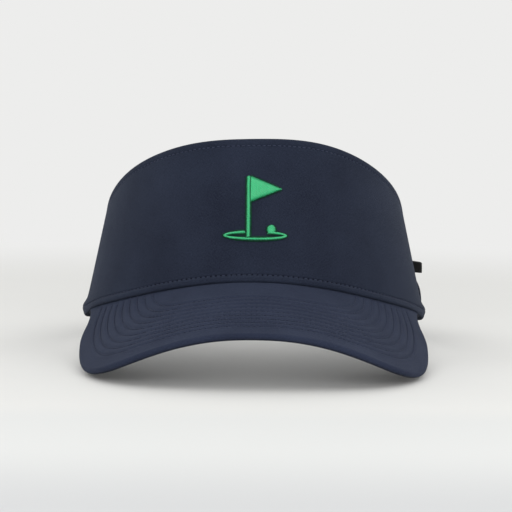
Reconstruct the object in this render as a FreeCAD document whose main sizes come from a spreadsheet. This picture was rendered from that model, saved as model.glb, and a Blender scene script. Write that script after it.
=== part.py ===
import FreeCAD, Part
import math
import os
import Sketcher
from FreeCAD import Placement, Rotation, Vector

# A sun visor, in millimetres. The wearer faces -Y, +Z is up and +X is the wearer's left.
# It rests as it stands on a table: on the two low corners of the brim and on the back of the band.
#
# The crown is a leaning elliptical cone, drawn in the "ring frame": the head ring lies in its XY plane
# with its centre at the origin. The ring frame is then tilted back about X and lifted, by the placement
# that every crown piece gets. Layers of the crown are told apart by their inset: how far in from the
# outer face a surface lies, so an inset under 0 lies outside the crown.
# Angles round the ring start at the front centre, 0, and grow towards the wearer's left, +X.

DIMENSIONS = [
    ("ring_half_width", 89.0, "half the width of the crown's outer face at the ring plane"),
    ("ring_front", 92.5, "from the ring's centre to the outer face at the front"),
    ("ring_back", 92.0, "from the ring's centre to the outer face at the back"),
    ("side_lean", 11.7, "degrees that the sides lean in"),
    ("front_lean", 9.6, "degrees that the front leans back"),
    ("back_lean", 8.0, "degrees that the back leans in"),
    ("ring_tilt", 11.0, "degrees that the ring dips towards the back"),
    ("ring_lift", 17.6, "height of the ring's centre over the table"),
    ("front_height", 83.6, "height of the top edge at the front, over the ring plane"),
    ("top_front_run", 20.0, "length of the level stretch that starts the top edge"),
    ("band_height", 33.0, "height of the band at the back"),
    ("band_start", 85.0, "how far back the top edge becomes level"),
    ("top_back_run", 47.0, "length of the curve that leads into the level band"),
    ("base_rise", 11.0, "height of the crown's base at the front, over the ring plane"),
    ("side_seam_angle", 112.0, "angle of the side seams"),
    ("right_wing_end", 210.0, "angle where the wearer's right wing ends"),
    ("left_wing_end", 194.0, "angle where the wearer's left wing ends, past the back centre"),
    ("panel_thick", 0.7, "outer fabric"),
    ("stiffener_thick", 0.6, "buckram"),
    ("lining_thick", 0.4, "lining fabric"),
    ("tape_thick", 0.4, "seam tape, sweatband tape and labels"),
    ("foam_thick", 1.8, "sweatband foam"),
    ("face_thick", 0.7, "sweatband face"),
    ("ply_gap", 0.1, "air between two plies"),
    ("hem_height", 1.3, "roll of the turned top edge"),
    ("base_roll", 2.2, "height of the rolled base edge"),
    ("base_roll_out", 0.9, "how far the rolled base edge stands out"),
    ("sweatband_top", 30.0, "top of the sweatband over the crown's base"),
    ("brim_length", 62.0, "from the crown's base to the brim's front edge, in plan"),
    ("brim_half_width", 87.4, "half the width of the brim"),
    ("brim_front_radius", 125.0, "arc of the front edge, in plan"),
    ("brim_corner_radius", 54.0, "arc of the two corners, in plan"),
    ("brim_end_angle", 77.0, "angle where the brim ends on the crown's base"),
    ("brim_slope", 15.4, "degrees that the brim drops towards the front"),
    ("brim_drop", 34.5, "drop of the arched brim at drop_width from its centre line"),
    ("drop_width", 80.0, "where brim_drop is measured"),
    ("brim_power", 1.96, "how quickly the arch steepens"),
    ("cover_thick", 0.8, "brim covers"),
    ("board_thick", 1.6, "brim board"),
    ("brim_gap", 0.05, "air between the covers and the board"),
    ("edge_fold", 2.0, "width of the turned fabric inside the brim's edge"),
    ("strap_low", 3.0, "lower edge of the strap over the ring plane"),
    ("strap_height", 29.0, "height of the strap"),
    ("strap_thick", 1.2, "closure strap"),
    ("strap_root_end", 222.0, "angle where the sewn root of the strap ends"),
    ("strap_fold", 208.0, "angle of the fold line where the strap swings open"),
    ("peel_fold", 139.0, "angle of the fold line where the loose tail begins"),
    ("tail_length", 42.5, "length of the loose tail"),
    ("tail_top_corner", 22.0, "radius of the tail's upper corner"),
    ("tail_low_corner", 6.0, "radius of the tail's lower corner"),
    ("hook_thick", 0.5, "hook tape and loop tape"),
    ("slip_gap", 0.35, "clearance between hook tape and loop tape"),
    ("fold_gap", 0.6, "gap at each fold line of the strap"),
    ("tab_start", 22.0, "where on the tail the pull tab is sewn"),
    ("tab_length", 22.5, "length of the pull tab"),
    ("tab_height", 6.4, "height of the pull tab"),
    ("tab_thick", 1.8, "folded webbing of the pull tab"),
    ("tab_rise", 27.9, "height of the pull tab's sewn end over the strap's lower edge"),
    ("tab_droop", 6.0, "degrees that the pull tab hangs down"),
    ("emblem_low", 32.0, "lowest point of the emblem over the ring plane"),
    ("emblem_high", 65.0, "highest point of the emblem over the ring plane"),
    ("emblem_raise", 0.9, "how far the embroidery stands out"),
    ("thread_width", 2.0, "width of an embroidered line"),
]

doc = FreeCAD.newDocument("SunVisor")
sheet = doc.addObject("Spreadsheet::Sheet", "Sizes")
for row, (alias, value, meaning) in enumerate(DIMENSIONS, start=1):
    sheet.set(f"A{row}", alias)
    sheet.set(f"B{row}", str(value))
    sheet.set(f"C{row}", meaning)
    sheet.setAlias(f"B{row}", alias)
doc.recompute()

parts = []


def size(alias):
    return float(getattr(sheet, alias))


def tangent(alias):
    return math.tan(math.radians(size(alias)))


def keep(obj, label):
    """Marks an object as a finished piece of the visor."""
    obj.Label = label
    parts.append(obj)
    return obj


def tilt(obj):
    """Moves a piece from the ring frame to the table's frame."""
    obj.Placement = Placement(Vector(), Rotation(Vector(-1, 0, 0), 1))
    obj.setExpression("Placement.Rotation.Angle", "Sizes.ring_tilt")
    obj.setExpression("Placement.Base.z", "Sizes.ring_lift")
    return obj


def ring_placement():
    """The placement that tilt gives, for pieces that are placed by number."""
    return Placement(Vector(0, 0, size("ring_lift")), Rotation(Vector(-1, 0, 0), size("ring_tilt")))


# ---- the crown's cone, its base and its top edge ----
CONE_LOW = -12.0
CONE_HIGH = 95.0
REACH = 130.0  # clear of the visor on every side


def cone_point(angle, height, inset):
    """A point of the crown, in the ring frame."""
    half_width = size("ring_half_width") - height * tangent("side_lean") - inset
    front = size("ring_front") - height * tangent("front_lean") - inset
    back = size("ring_back") - height * tangent("back_lean") - inset
    half_depth, middle = (front + back) / 2, (back - front) / 2
    across, ahead = math.sin(math.radians(angle)), math.cos(math.radians(angle))
    # the distance at which a ray from the centre meets the ellipse
    square = (across / half_width) ** 2 + (ahead / half_depth) ** 2
    linear = ahead * middle / half_depth**2
    rest = (middle / half_depth) ** 2 - 1
    reach = (-linear + math.sqrt(linear**2 - square * rest)) / square
    return Vector(reach * across, -reach * ahead, height)


def base_height(y):
    """Height of the crown's base at a depth y: it grows with the cube of the distance ahead."""
    return size("base_rise") * (-y / size("ring_front")) ** 3 if y < 0 else 0.0


cones = {}


def cone(inset):
    """A solid cone whose face lies inset inside the crown's outer face. Built once for each inset."""
    key = f"{inset:.4f}"
    if key in cones:
        return cones[key]
    rings = []
    for level in (CONE_LOW, CONE_HIGH):
        ring = doc.addObject("Part::Ellipse", "Ring")
        ring.Placement = Placement(Vector(0, 0, level), Rotation(Vector(0, 0, 1), 90))
        ring.setExpression(
            "MajorRadius",
            "(Sizes.ring_front + Sizes.ring_back) / 2"
            f" - {level} * (tan(Sizes.front_lean) + tan(Sizes.back_lean)) / 2 - ({key})",
        )
        half_width = f"Sizes.ring_half_width - {level} * tan(Sizes.side_lean) - ({key})"
        ring.setExpression("MinorRadius", half_width)
        ring.setExpression(
            "Placement.Base.y",
            "(Sizes.ring_back - Sizes.ring_front) / 2"
            f" + {level} * (tan(Sizes.front_lean) - tan(Sizes.back_lean)) / 2",
        )
        rings.append(ring)
    loft = doc.addObject("Part::Loft", "Cone")
    loft.Sections = rings
    loft.Solid = True
    loft.Ruled = True
    cones[key] = loft
    return loft


def shell(outer, inner):
    """The ply between two insets, all round the head and over the full height."""
    wall = doc.addObject("Part::Cut", "Wall")
    wall.Base = cone(outer)
    wall.Tool = cone(inner)
    return wall


def wedge(start, end, low=CONE_LOW, high=CONE_HIGH):
    """A pie slice between two angles round the ring and two heights."""
    pie = doc.addObject("Part::Cylinder", "Slice")
    pie.Placement = Placement(Vector(), Rotation(Vector(0, 0, 1), 1))
    pie.Radius = REACH
    pie.setExpression("Placement.Rotation.Angle", f"({start}) + 270")
    pie.setExpression("Placement.Base.z", f"{low}")
    pie.setExpression("Angle", f"({end}) - ({start})")
    pie.setExpression("Height", f"({high}) - ({low})")
    return pie


def side_curve(*points):
    """A curve seen from the side, from its control points (depth, height)."""
    curve = Part.BezierCurve()
    curve.setPoles([Vector(0, y, height) for y, height in points])
    return curve


def top_edge(rise):
    """The crown's top edge: level at the front, then falling to the level band at the back."""
    front = -size("ring_front") + size("front_height") * tangent("front_lean")
    high = size("front_height") + rise
    low = size("band_height") + rise
    return side_curve(
        (front, high),
        (front + size("top_front_run"), high),
        (size("band_start") - size("top_back_run"), low),
        (size("band_start"), low),
    )


def base_edge(rise, drop=0.0):
    """The crown's base, raised by rise, and lowered by drop at the front."""
    front = -size("ring_front")
    high = size("base_rise") - drop + rise
    return side_curve((front, high), (front * 2 / 3, rise), (front / 3, rise), (0, rise))


def between(low_curve, high_curve):
    """Everything between two curves seen from the side, right across the visor."""
    chains = []
    for curve in (low_curve, high_curve):
        first, last = curve.getPoles()[0], curve.getPoles()[-1]
        front, back = Vector(0, -REACH, first.z), Vector(0, REACH, last.z)
        chains.append([Part.makeLine(front, first), curve.toShape(), Part.makeLine(last, back)])
    low, high = chains
    front = Part.makeLine(low[0].Vertexes[0].Point, high[0].Vertexes[0].Point)
    back = Part.makeLine(low[2].Vertexes[1].Point, high[2].Vertexes[1].Point)
    outline = doc.addObject("Part::Feature", "SideView")
    outline.Shape = Part.Face(Part.Wire(Part.__sortEdges__(low + high + [front, back])))
    block = doc.addObject("Part::Extrusion", "SideBlock")
    block.Base = outline
    block.Dir = (1, 0, 0)
    block.LengthFwd = REACH
    block.LengthRev = REACH
    block.Solid = True
    return block


def ply(label, outer, inner, *tools):
    """One curved ply between two insets, cut to its outline by the tools."""
    common = doc.addObject("Part::MultiCommon", "Ply")
    common.Shapes = [shell(outer, inner), *tools]
    return keep(tilt(common), label)


# ---- insets of the plies, from the outside in ----
gap = size("ply_gap")
panel_in = size("panel_thick")
stiff_out = panel_in + gap
stiff_in = stiff_out + size("stiffener_thick")
lining_out = stiff_in + gap
lining_in = lining_out + size("lining_thick")
tape_out = lining_in + gap
tape_in = tape_out + size("tape_thick")
foam_out = tape_in + gap
foam_in = foam_out + size("foam_thick")
face_out = foam_in + gap
face_in = face_out + size("face_thick")
trim_out = face_in + gap
trim_in = trim_out + size("tape_thick")

SEAM = "Sizes.side_seam_angle"
RIGHT_END = "Sizes.right_wing_end"
LEFT_END = "Sizes.left_wing_end"
SEAM_GAP = 0.1  # degrees between two panels that are sewn edge to edge
EDGE_REST = 0.6  # how far the inner plies stay under the top edge
ROLL_HALF = 85  # degrees each side of the front that the rolled base edge reaches

full_height = between(base_edge(0.0), top_edge(0.0))
inner_height = between(base_edge(0.2), top_edge(-EDGE_REST))
hem_height = between(top_edge(gap), top_edge(size("hem_height")))
front_slice = wedge(f"-{SEAM}", SEAM)
inner_slice = wedge(f"1 - {SEAM}", f"{SEAM} - 1")

# ---- front of the crown: panel, buckram, lining, turned top edge and rolled base edge ----
ply("crown_front_panel", 0, panel_in, full_height, front_slice)
ply("crown_stiffener", stiff_out, stiff_in, inner_height, inner_slice)
ply("crown_lining", lining_out, lining_in, inner_height, inner_slice)
ply("crown_top_hem", 0, lining_in, hem_height, front_slice)
roll_height = between(base_edge(gap), base_edge(size("base_roll")))
roll_slice = wedge(-ROLL_HALF, ROLL_HALF)
ply("crown_base_roll", -size("base_roll_out"), -gap / 2, roll_height, roll_slice)

# ---- rear wings, from the side seams to the closure, and the tape behind each side seam ----
wing_slices = {
    "left": wedge(f"{SEAM} + {SEAM_GAP}", LEFT_END),
    "right": wedge(RIGHT_END, f"360 - {SEAM} - {SEAM_GAP}"),
}
TAPE_HALF = 3.5  # degrees each side of the seam
tape_slices = {
    "left": wedge(f"{SEAM} - {TAPE_HALF}", f"{SEAM} + {TAPE_HALF}"),
    "right": wedge(f"-{SEAM} - {TAPE_HALF}", f"-{SEAM} + {TAPE_HALF}"),
}
tape_height = between(base_edge(2.0), top_edge(-2.0))
for side in ("left", "right"):
    ply(f"{side}_wing_outer", 0, panel_in, full_height, wing_slices[side])
    ply(f"{side}_wing_lining", lining_out, lining_in, inner_height, wing_slices[side])
    ply(f"{side}_wing_hem", 0, lining_in, hem_height, wing_slices[side])
    ply(f"{side}_seam_tape", tape_out, tape_in, tape_height, tape_slices[side])

# ---- sweatband: foam, face, and the tape along its top edge. It also covers the brim's inner edge ----
brim_depth = 2 * size("cover_thick") + size("board_thick") + 2 * size("brim_gap")
band_top = size("sweatband_top")
TRIM_WIDTH = 4.3
BAND_REST = 3.0  # degrees that the sweatband stops short of each wing's end
band_slice = wedge(f"{RIGHT_END} - 360 + {BAND_REST}", f"{LEFT_END} - {BAND_REST}")
foam_height = between(base_edge(0.4, brim_depth), base_edge(band_top - 1.5))
face_height = between(base_edge(0.3, brim_depth), base_edge(band_top))
trim_height = between(base_edge(band_top + 0.3 - TRIM_WIDTH), base_edge(band_top + 0.3))
ply("sweatband_foam", foam_out, foam_in, foam_height, band_slice)
ply("sweatband_face", face_out, face_in, face_height, band_slice)
ply("sweatband_tape", trim_out, trim_in, trim_height, band_slice)

# ---- blank labels sewn inside the left wing: name, first and last angle, lowest and highest point ----
LABELS = [("size_label", 168, 180, 6, 22), ("care_label", 148, 163, 4, 24)]
for label, *limits in LABELS:
    ply(label, trim_out, trim_in, wedge(*limits))

# ---- closure: loop tape on the left wing, then the strap's sewn root, the strap and its hook tape ----
half_fold = math.degrees(size("fold_gap") / 2 / size("ring_back"))
loop_out = -gap / 2 - size("hook_thick")
hook_in = loop_out - size("slip_gap")
hook_out = hook_in - size("hook_thick")
strap_in = hook_out - gap / 2
strap_out = strap_in - size("strap_thick")
strap_low = size("strap_low")
strap_high = strap_low + size("strap_height")
TAPE_MARGIN = 2.5  # strap fabric left bare above and below its tapes
tape_span = (strap_low + TAPE_MARGIN, strap_high - TAPE_MARGIN)
strap_span = (strap_low, strap_high)
LOOP_START, LOOP_END = 122, 190  # degrees
HOOK_END = 178
TACKS = [("inner", 212.5), ("outer", 220.0)]
TACK_WIDE = 1.0  # degrees
TACK_RAISE = 0.5
TACK_MARGIN = 2.0
root_slice = wedge(f"Sizes.strap_fold + {half_fold}", "Sizes.strap_root_end", *strap_span)
strap_slice = wedge(f"Sizes.peel_fold + {half_fold}", f"Sizes.strap_fold - {half_fold}", *strap_span)
hook_slice = wedge(f"Sizes.peel_fold + {half_fold} + 1", HOOK_END, *tape_span)
ply("closure_loop_tape", loop_out, -gap / 2, wedge(LOOP_START, LOOP_END, *tape_span))
ply("closure_strap_root", strap_out, -gap / 2, root_slice)
ply("closure_strap", strap_out, strap_in, strap_slice)
ply("closure_hook_tape", hook_out, hook_in, hook_slice)
for place, angle in TACKS:
    tack_slice = wedge(angle, angle + TACK_WIDE, strap_low + TACK_MARGIN, strap_high - TACK_MARGIN)
    ply(f"closure_tack_{place}", strap_out - TACK_RAISE, strap_out, tack_slice)


# ---- the strap's loose tail and pull tab: flat, so they are drawn flat and then placed on the band ----
def flat_body(label, length, height, thick, low_corner, top_corner, placement):
    """A flat tongue: it starts at x = 0, is centred on y = 0 and z = 0, and its far corners are round."""
    body = doc.addObject("PartDesign::Body", "Tongue")
    sketch = body.newObject("Sketcher::SketchObject", "Outline")
    plane = next(o for o in body.Origin.OriginFeatures if o.Role == "XY_Plane")
    sketch.AttachmentSupport = [(plane, "")]
    sketch.MapMode = "FlatFace"
    corners = [Vector(0, -1, 0), Vector(9, -1, 0), Vector(9, 1, 0), Vector(0, 1, 0)]
    for index in range(4):
        sketch.addGeometry(Part.LineSegment(corners[index], corners[(index + 1) % 4]))
    for index in range(4):
        sketch.addConstraint(Sketcher.Constraint("Coincident", index, 2, (index + 1) % 4, 1))
    for index, kind in enumerate(("Horizontal", "Vertical", "Horizontal", "Vertical")):
        sketch.addConstraint(Sketcher.Constraint(kind, index))
    sketch.addConstraint(Sketcher.Constraint("Symmetric", 3, 1, 3, 2, -1, 1))
    for index, name, value in ((0, "length", 9), (1, "height", 2)):
        sketch.addConstraint(Sketcher.Constraint("Distance", index, value))
        sketch.renameConstraint(sketch.ConstraintCount - 1, name)
    sketch.setExpression("Constraints.length", length)
    sketch.setExpression("Constraints.height", height)
    pad = body.newObject("PartDesign::Pad", "Thickness")
    pad.Profile = sketch
    pad.Midplane = True
    pad.setExpression("Length", thick)
    doc.recompute()
    far, high = pad.Shape.BoundBox.XMax, pad.Shape.BoundBox.YMax
    solid = pad
    for side, corner in ((-1, low_corner), (1, top_corner)):
        place = Vector(far, side * high, 0)
        edges = enumerate(solid.Shape.Edges, start=1)
        names = [f"Edge{index}" for index, edge in edges if edge.CenterOfMass.distanceToPoint(place) < 0.01]
        fillet = body.newObject("PartDesign::Fillet", "Corner")
        fillet.Base = (solid, names)
        fillet.setExpression("Radius", corner)
        doc.recompute()
        solid = fillet
    body.Placement = placement
    return keep(body, label)


def along_tangent(angle, height, inset, out=0.0):
    """A placement on the band: x runs flat off the band, y up along its slope, and z inwards."""
    here = cone_point(angle, height, inset)
    up = (cone_point(angle, height + 1, inset) - here).normalize()
    ahead = cone_point(angle - 0.5, height, inset) - here
    forward = (ahead - up * ahead.dot(up)).normalize()
    inward = forward.cross(up)
    matrix = FreeCAD.Matrix(
        forward.x, up.x, inward.x, here.x,
        forward.y, up.y, inward.y, here.y,
        forward.z, up.z, inward.z, here.z,
        0, 0, 0, 1,
    )
    moved = Placement(matrix).multiply(Placement(Vector(out, 0, 0), Rotation()))
    return ring_placement().multiply(moved)


strap_middle = (strap_in + strap_out) / 2
strap_centre = strap_low + size("strap_height") / 2
tail_place = along_tangent(size("peel_fold"), strap_centre, strap_middle, size("fold_gap") / 2)
TAB_CORNERS = ("0.4", "1.2")
tail_flat = ("Sizes.tail_length", "Sizes.strap_height", "Sizes.strap_thick")
tail_corners = ("Sizes.tail_low_corner", "Sizes.tail_top_corner")
flat_body("closure_strap_tail", *tail_flat, *tail_corners, tail_place)
tab_out = (size("strap_thick") + size("tab_thick") + gap) / 2
tab_shift = Vector(size("tab_start"), size("tab_rise") - size("strap_height") / 2, -tab_out)
tab_turn = Rotation(Vector(0, 0, 1), -size("tab_droop"))
tab_place = tail_place.multiply(Placement(tab_shift, tab_turn))
tab_flat = ("Sizes.tab_length", "Sizes.tab_height", "Sizes.tab_thick")
flat_body("closure_pull_tab", *tab_flat, *TAB_CORNERS, tab_place)


# ---- brim: an arched sandwich of two covers, a board and the fabric turned in at its edge ----
STATIONS = 36  # from one end of the brim to the other
SETTLED = 3  # stations at each end that take the normal of the next one in
TUCK_DROP = 0.3  # the brim's inner edge lies this far under the crown's base, TUCK_INSET inside its face
TUCK_INSET = 0.1
END_BACK = 4.0  # degrees that the edge ends ahead of the brim's end, and END_OUT outside the crown's face
END_OUT = 1.2
BOARD_SHORT = 0.6  # the most of a station's line that the board leaves free
FOLD_MOST = 0.55  # the most of it that the turned fabric takes
FOLD_TRIM = 2  # stations at each end with no folded fabric


def brim_outline():
    """The brim's edge in plan, on its +X side, as a function of the share walked, and its two ends."""
    seam = ring_placement().multVec(cone_point(0, size("base_rise"), 0))
    front_radius, corner_radius = size("brim_front_radius"), size("brim_corner_radius")
    centre = Vector(0, seam.y - size("brim_length") + front_radius, 0)
    aside = size("brim_half_width") - corner_radius
    corner = Vector(aside, centre.y - math.sqrt((front_radius - corner_radius) ** 2 - aside**2), 0)
    sweep = math.atan2(aside, centre.y - corner.y)
    end = ring_placement().multVec(cone_point(size("brim_end_angle") - END_BACK, 0, -END_OUT))
    away = Vector(end.x - corner.x, end.y - corner.y, 0)
    bearing = math.atan2(away.y, away.x)
    touch = bearing - math.acos(corner_radius / away.Length)
    leave = corner + Vector(math.cos(touch), math.sin(touch), 0) * corner_radius
    front_length = front_radius * sweep
    corner_length = corner_radius * (touch + math.pi / 2 - sweep)
    side_length = (Vector(end.x, end.y, 0) - leave).Length
    total = front_length + corner_length + side_length

    def walk(share):
        """The point of the edge at a share, from 0 at the front centre to 1 at its end on the crown."""
        left = share * total
        if left <= front_length:
            turn = left / front_radius
            return centre + Vector(math.sin(turn), -math.cos(turn), 0) * front_radius
        left -= front_length
        if left <= corner_length:
            turn = sweep + left / corner_radius
            return corner + Vector(math.sin(turn), -math.cos(turn), 0) * corner_radius
        return leave + (Vector(end.x, end.y, 0) - leave) * ((left - corner_length) / side_length)

    return walk, seam, end


def brim_rows():
    """For each station across the brim: its point on the crown's base, on the edge, and the normal."""
    walk, seam, end = brim_outline()

    def arch(point):
        fall = size("brim_drop") * (abs(point.x) / size("drop_width")) ** size("brim_power")
        return seam.z + (point.y - seam.y) * tangent("brim_slope") - fall

    end_error = end.z - arch(end)
    widest = walk(0.5).y
    inner, outer = [], []
    for station in range(STATIONS + 1):
        share = 2 * station / STATIONS - 1
        angle = share * size("brim_end_angle")
        on_ring = cone_point(angle, 0, 0)
        tucked = cone_point(angle, base_height(on_ring.y) - TUCK_DROP, TUCK_INSET)
        inner.append(ring_placement().multVec(tucked))
        point = walk(abs(share))
        settle = min(max((point.y - widest) / (end.y - widest), 0), 1)
        height = arch(point) + end_error * settle**2
        outer.append(Vector(math.copysign(point.x, share), point.y, height))
    normals = []
    for index in range(STATIONS + 1):
        here = min(max(index, SETTLED), STATIONS - SETTLED)
        across = outer[here + 1] - outer[here - 1] + inner[here + 1] - inner[here - 1]
        normals.append(across.cross(inner[here] - outer[here]).normalize())
    return inner, outer, normals


def from_edge(inner, outer, index, distance, most):
    """The point of a station's line at a distance square to the edge, or at most that share of the line."""
    line = inner[index] - outer[index]
    along = outer[min(index + 1, STATIONS)] - outer[max(index - 1, 0)]
    return outer[index] + line * min(distance / (line.Length * math.sin(line.getAngle(along))), most)


def brim_ply(label, top, bottom, start=None, stop=0.0, trim=0):
    """A ply of the brim between two depths. It runs from start inside the edge, or from the crown, to stop
    inside the edge, and leaves out trim stations at each end of the brim."""
    corners = ([], [], [], [])
    inner, outer, normals = brim_rows()
    for index in range(trim, STATIONS + 1 - trim):
        near = inner[index] if start is None else from_edge(inner, outer, index, start, FOLD_MOST)
        far = from_edge(inner, outer, index, stop, BOARD_SHORT) if stop else outer[index]
        for line, (point, depth) in zip(corners, ((near, top), (far, top), (far, bottom), (near, bottom))):
            line.append(point - normals[index] * depth)
    edges = []
    for line in corners:
        curve = Part.BSplineCurve()
        curve.interpolate(Points=line, Parameters=list(range(len(line))))
        edges.append(curve.toShape())
    faces = [Part.makeRuledSurface(edges[index], edges[(index + 1) % 4]) for index in range(4)]
    for end in (0, -1):
        upper = Part.makeLine(corners[0][end], corners[1][end])
        lower = Part.makeLine(corners[3][end], corners[2][end])
        faces.append(Part.makeRuledSurface(upper, lower))
    solid = Part.Solid(Part.Shell(faces))
    solid.fix(0.001, 0.001, 0.001)
    if solid.Volume < 0:
        solid.reverse()
    obj = doc.addObject("Part::Feature", "BrimPly")
    obj.Shape = solid
    return keep(obj, label)


cover = size("cover_thick")
board_top = cover + size("brim_gap")
board_bottom = board_top + size("board_thick")
fold = size("edge_fold")
brim_ply("brim_top_cover", 0, cover)
brim_ply("brim_board", board_top, board_bottom, stop=fold + gap)
brim_ply("brim_edge_fold", board_top, board_bottom, start=fold, trim=FOLD_TRIM)
brim_ply("brim_bottom_cover", board_bottom + size("brim_gap"), brim_depth)


# ---- emblem: a plain golf flag in raised embroidery on the front panel ----
def front_block(outline):
    """An outline in the front view, (x, height) points, as a block that reaches through the front."""
    shape = doc.addObject("Part::Feature", "FrontView")
    corners = [Vector(x, -REACH, height) for x, height in outline + outline[:1]]
    shape.Shape = Part.Face(Part.makePolygon(corners))
    block = doc.addObject("Part::Extrusion", "FrontBlock")
    block.Base = shape
    block.Dir = (0, 1, 0)
    block.LengthFwd = REACH
    block.Solid = True
    return block


def arc_points(centre, radius, first, last, squash=1.0, count=24):
    """Points along an arc in the front view."""
    angles = [math.radians(first + (last - first) * step / count) for step in range(count + 1)]
    return [(centre[0] + radius * math.cos(a), centre[1] + radius * squash * math.sin(a)) for a in angles]


low, high, width = size("emblem_low"), size("emblem_high"), size("thread_width")
POLE_X = -3.5
GREEN_HALF = 16.0
GREEN_SQUASH = 0.16
GREEN_FROM, GREEN_TO = 110, 425  # degrees: the line is open behind the pole
INNER_SQUASH = GREEN_SQUASH * 0.45
PENNANT_REACH = 17.0
BALL_X, BALL_RISE, BALL_RADIUS = 8.0, 3.2, 2.2
flag_depth = (high - low) * 0.4
pole_left, pole_right, pole_low = POLE_X - width / 2, POLE_X + width / 2, low + 2
pole = [(pole_left, pole_low), (pole_right, pole_low), (pole_right, high), (pole_left, high)]
pennant_x = pole_right + gap
pennant_tip = (POLE_X + PENNANT_REACH, high - flag_depth / 2)
pennant = [(pennant_x, high - flag_depth), pennant_tip, (pennant_x, high)]
middle = (0.0, low + GREEN_HALF * GREEN_SQUASH)
outer_green = arc_points(middle, GREEN_HALF, GREEN_FROM, GREEN_TO, GREEN_SQUASH)
inner_green = arc_points(middle, GREEN_HALF - width, GREEN_TO, GREEN_FROM, INNER_SQUASH)
ball = arc_points((BALL_X, middle[1] + BALL_RISE), BALL_RADIUS, 0, 345)
stitched = doc.addObject("Part::MultiFuse", "Stitched")
stitched.Shapes = [front_block(outline) for outline in (pole, pennant, outer_green + inner_green, ball)]
ply("emblem", -size("emblem_raise"), -gap / 2, stitched)

# ---- check everything, then write one file for each piece ----
doc.recompute()
for obj in doc.Objects:
    if "Invalid" in obj.State or "Error" in obj.State:
        raise RuntimeError(f"{obj.Name} {obj.Label} is {obj.State}")
os.makedirs("parts", exist_ok=True)
for obj in parts:
    shape = obj.Shape
    if shape.isNull() or not shape.isValid() or not shape.Solids:
        raise RuntimeError(f"{obj.Label} has no valid solid")
    shape.exportStep(f"parts/{obj.Label}.step")
    print(f"{obj.Label}: {len(shape.Solids)} solid, {shape.Volume:.0f} mm3")
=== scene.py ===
"""A sun visor's looks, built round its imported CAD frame. Sizes are in millimetres until a mesh is made."""

import math

import bmesh
import bpy
import numpy as np
from mathutils import Matrix, Vector
from mathutils.bvhtree import BVHTree


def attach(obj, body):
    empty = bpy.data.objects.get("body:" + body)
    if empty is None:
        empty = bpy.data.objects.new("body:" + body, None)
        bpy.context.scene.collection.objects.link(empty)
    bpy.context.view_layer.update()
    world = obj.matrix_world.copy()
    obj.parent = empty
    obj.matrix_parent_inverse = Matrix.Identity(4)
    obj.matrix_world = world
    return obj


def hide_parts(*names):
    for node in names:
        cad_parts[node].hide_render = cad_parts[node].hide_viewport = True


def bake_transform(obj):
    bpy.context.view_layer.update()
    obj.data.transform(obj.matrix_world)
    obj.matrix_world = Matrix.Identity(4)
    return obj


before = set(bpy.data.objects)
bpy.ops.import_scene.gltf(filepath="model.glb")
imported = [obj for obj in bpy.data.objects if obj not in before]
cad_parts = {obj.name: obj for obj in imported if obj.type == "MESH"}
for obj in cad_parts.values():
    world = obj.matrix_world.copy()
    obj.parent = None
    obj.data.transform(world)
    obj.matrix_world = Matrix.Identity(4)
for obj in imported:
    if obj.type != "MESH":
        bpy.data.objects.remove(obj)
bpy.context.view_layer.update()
MM = 0.001
rng = np.random.default_rng(11)

# ---- driving sizes, the CAD model's own ----
HALF_WIDTH, FRONT, BACK = 89.0, 92.5, 92.0
SIDE_LEAN, FRONT_LEAN, BACK_LEAN = 11.7, 9.6, 8.0
TILT, LIFT = 11.0, 17.6
FRONT_HEIGHT, BAND_HEIGHT, BAND_START = 83.6, 33.0, 85.0
TOP_FRONT_RUN, TOP_BACK_RUN = 20.0, 47.0
BASE_RISE = 11.0
SEAM_ANGLE, RIGHT_END, LEFT_END = 112.0, 210.0, 194.0
BAND_TOP = 30.0
BRIM_LENGTH, BRIM_HALF, BRIM_WIDEST = 63.2, 89.0, -64.0
FRONT_PULL, SIDE_PULL, BACK_PULL = 66.0, 66.0, 9.0
BRIM_END, BRIM_SLOPE, BRIM_DROP, DROP_WIDTH, BRIM_POWER = 77.0, 15.4, 32.5, 80.0, 2.26
END_INSET = 3.8  # the brim's corners start inside the crown's wall
BRIM_THICK = 3.7
STRAP_LOW, STRAP_HEIGHT = 3.0, 29.0
STRAP_IN, STRAP_OUT, ROOT_IN = -1.45, -2.65, -0.1
ROOT_END, STRAP_FOLD, PEEL_FOLD, STRAP_JOIN = 222.0, 208.0, 139.0, 176.0
TAIL_LENGTH, TAIL_TOP_CORNER, TAIL_LOW_CORNER = 43.7, 19.0, 10.0
TAB_START, TAB_LENGTH, TAB_HEIGHT, TAB_THICK, TAB_RISE, TAB_DROOP = 22.0, 23.4, 6.6, 1.8, 28.7, 7.0
EMBLEM_LOW, EMBLEM_HIGH = 32.0, 65.0
STITCH_PITCH = 2.6


# ---- the crown's surface ----
def smoothstep(low, high, value):
    t = np.clip((value - low) / (high - low), 0, 1)
    return t * t * (3 - 2 * t)


def dip(distance, width):
    """1 on a line, and next to nothing beyond twice the width from it."""
    return np.exp(-((distance / width) ** 2))


def tan_deg(degrees):
    return math.tan(math.radians(degrees))


def ripple(angle, height):
    """The slight unevenness that every ply of the crown shares."""
    turn = np.radians(angle)
    slow = np.sin(3 * turn + 0.8) * np.sin(height / 19.0 + 0.4)
    quick = np.sin(8 * turn + height / 12.0)
    return 0.20 * slow + 0.08 * quick


SIDE_SWELL = 1.0  # the cloth stands out over the ears a little more than the plain cone


def side_swell(angle):
    aside = np.abs((angle + 180) % 360 - 180)
    return SIDE_SWELL * smoothstep(35, 75, aside) * smoothstep(128, 100, aside)


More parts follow.
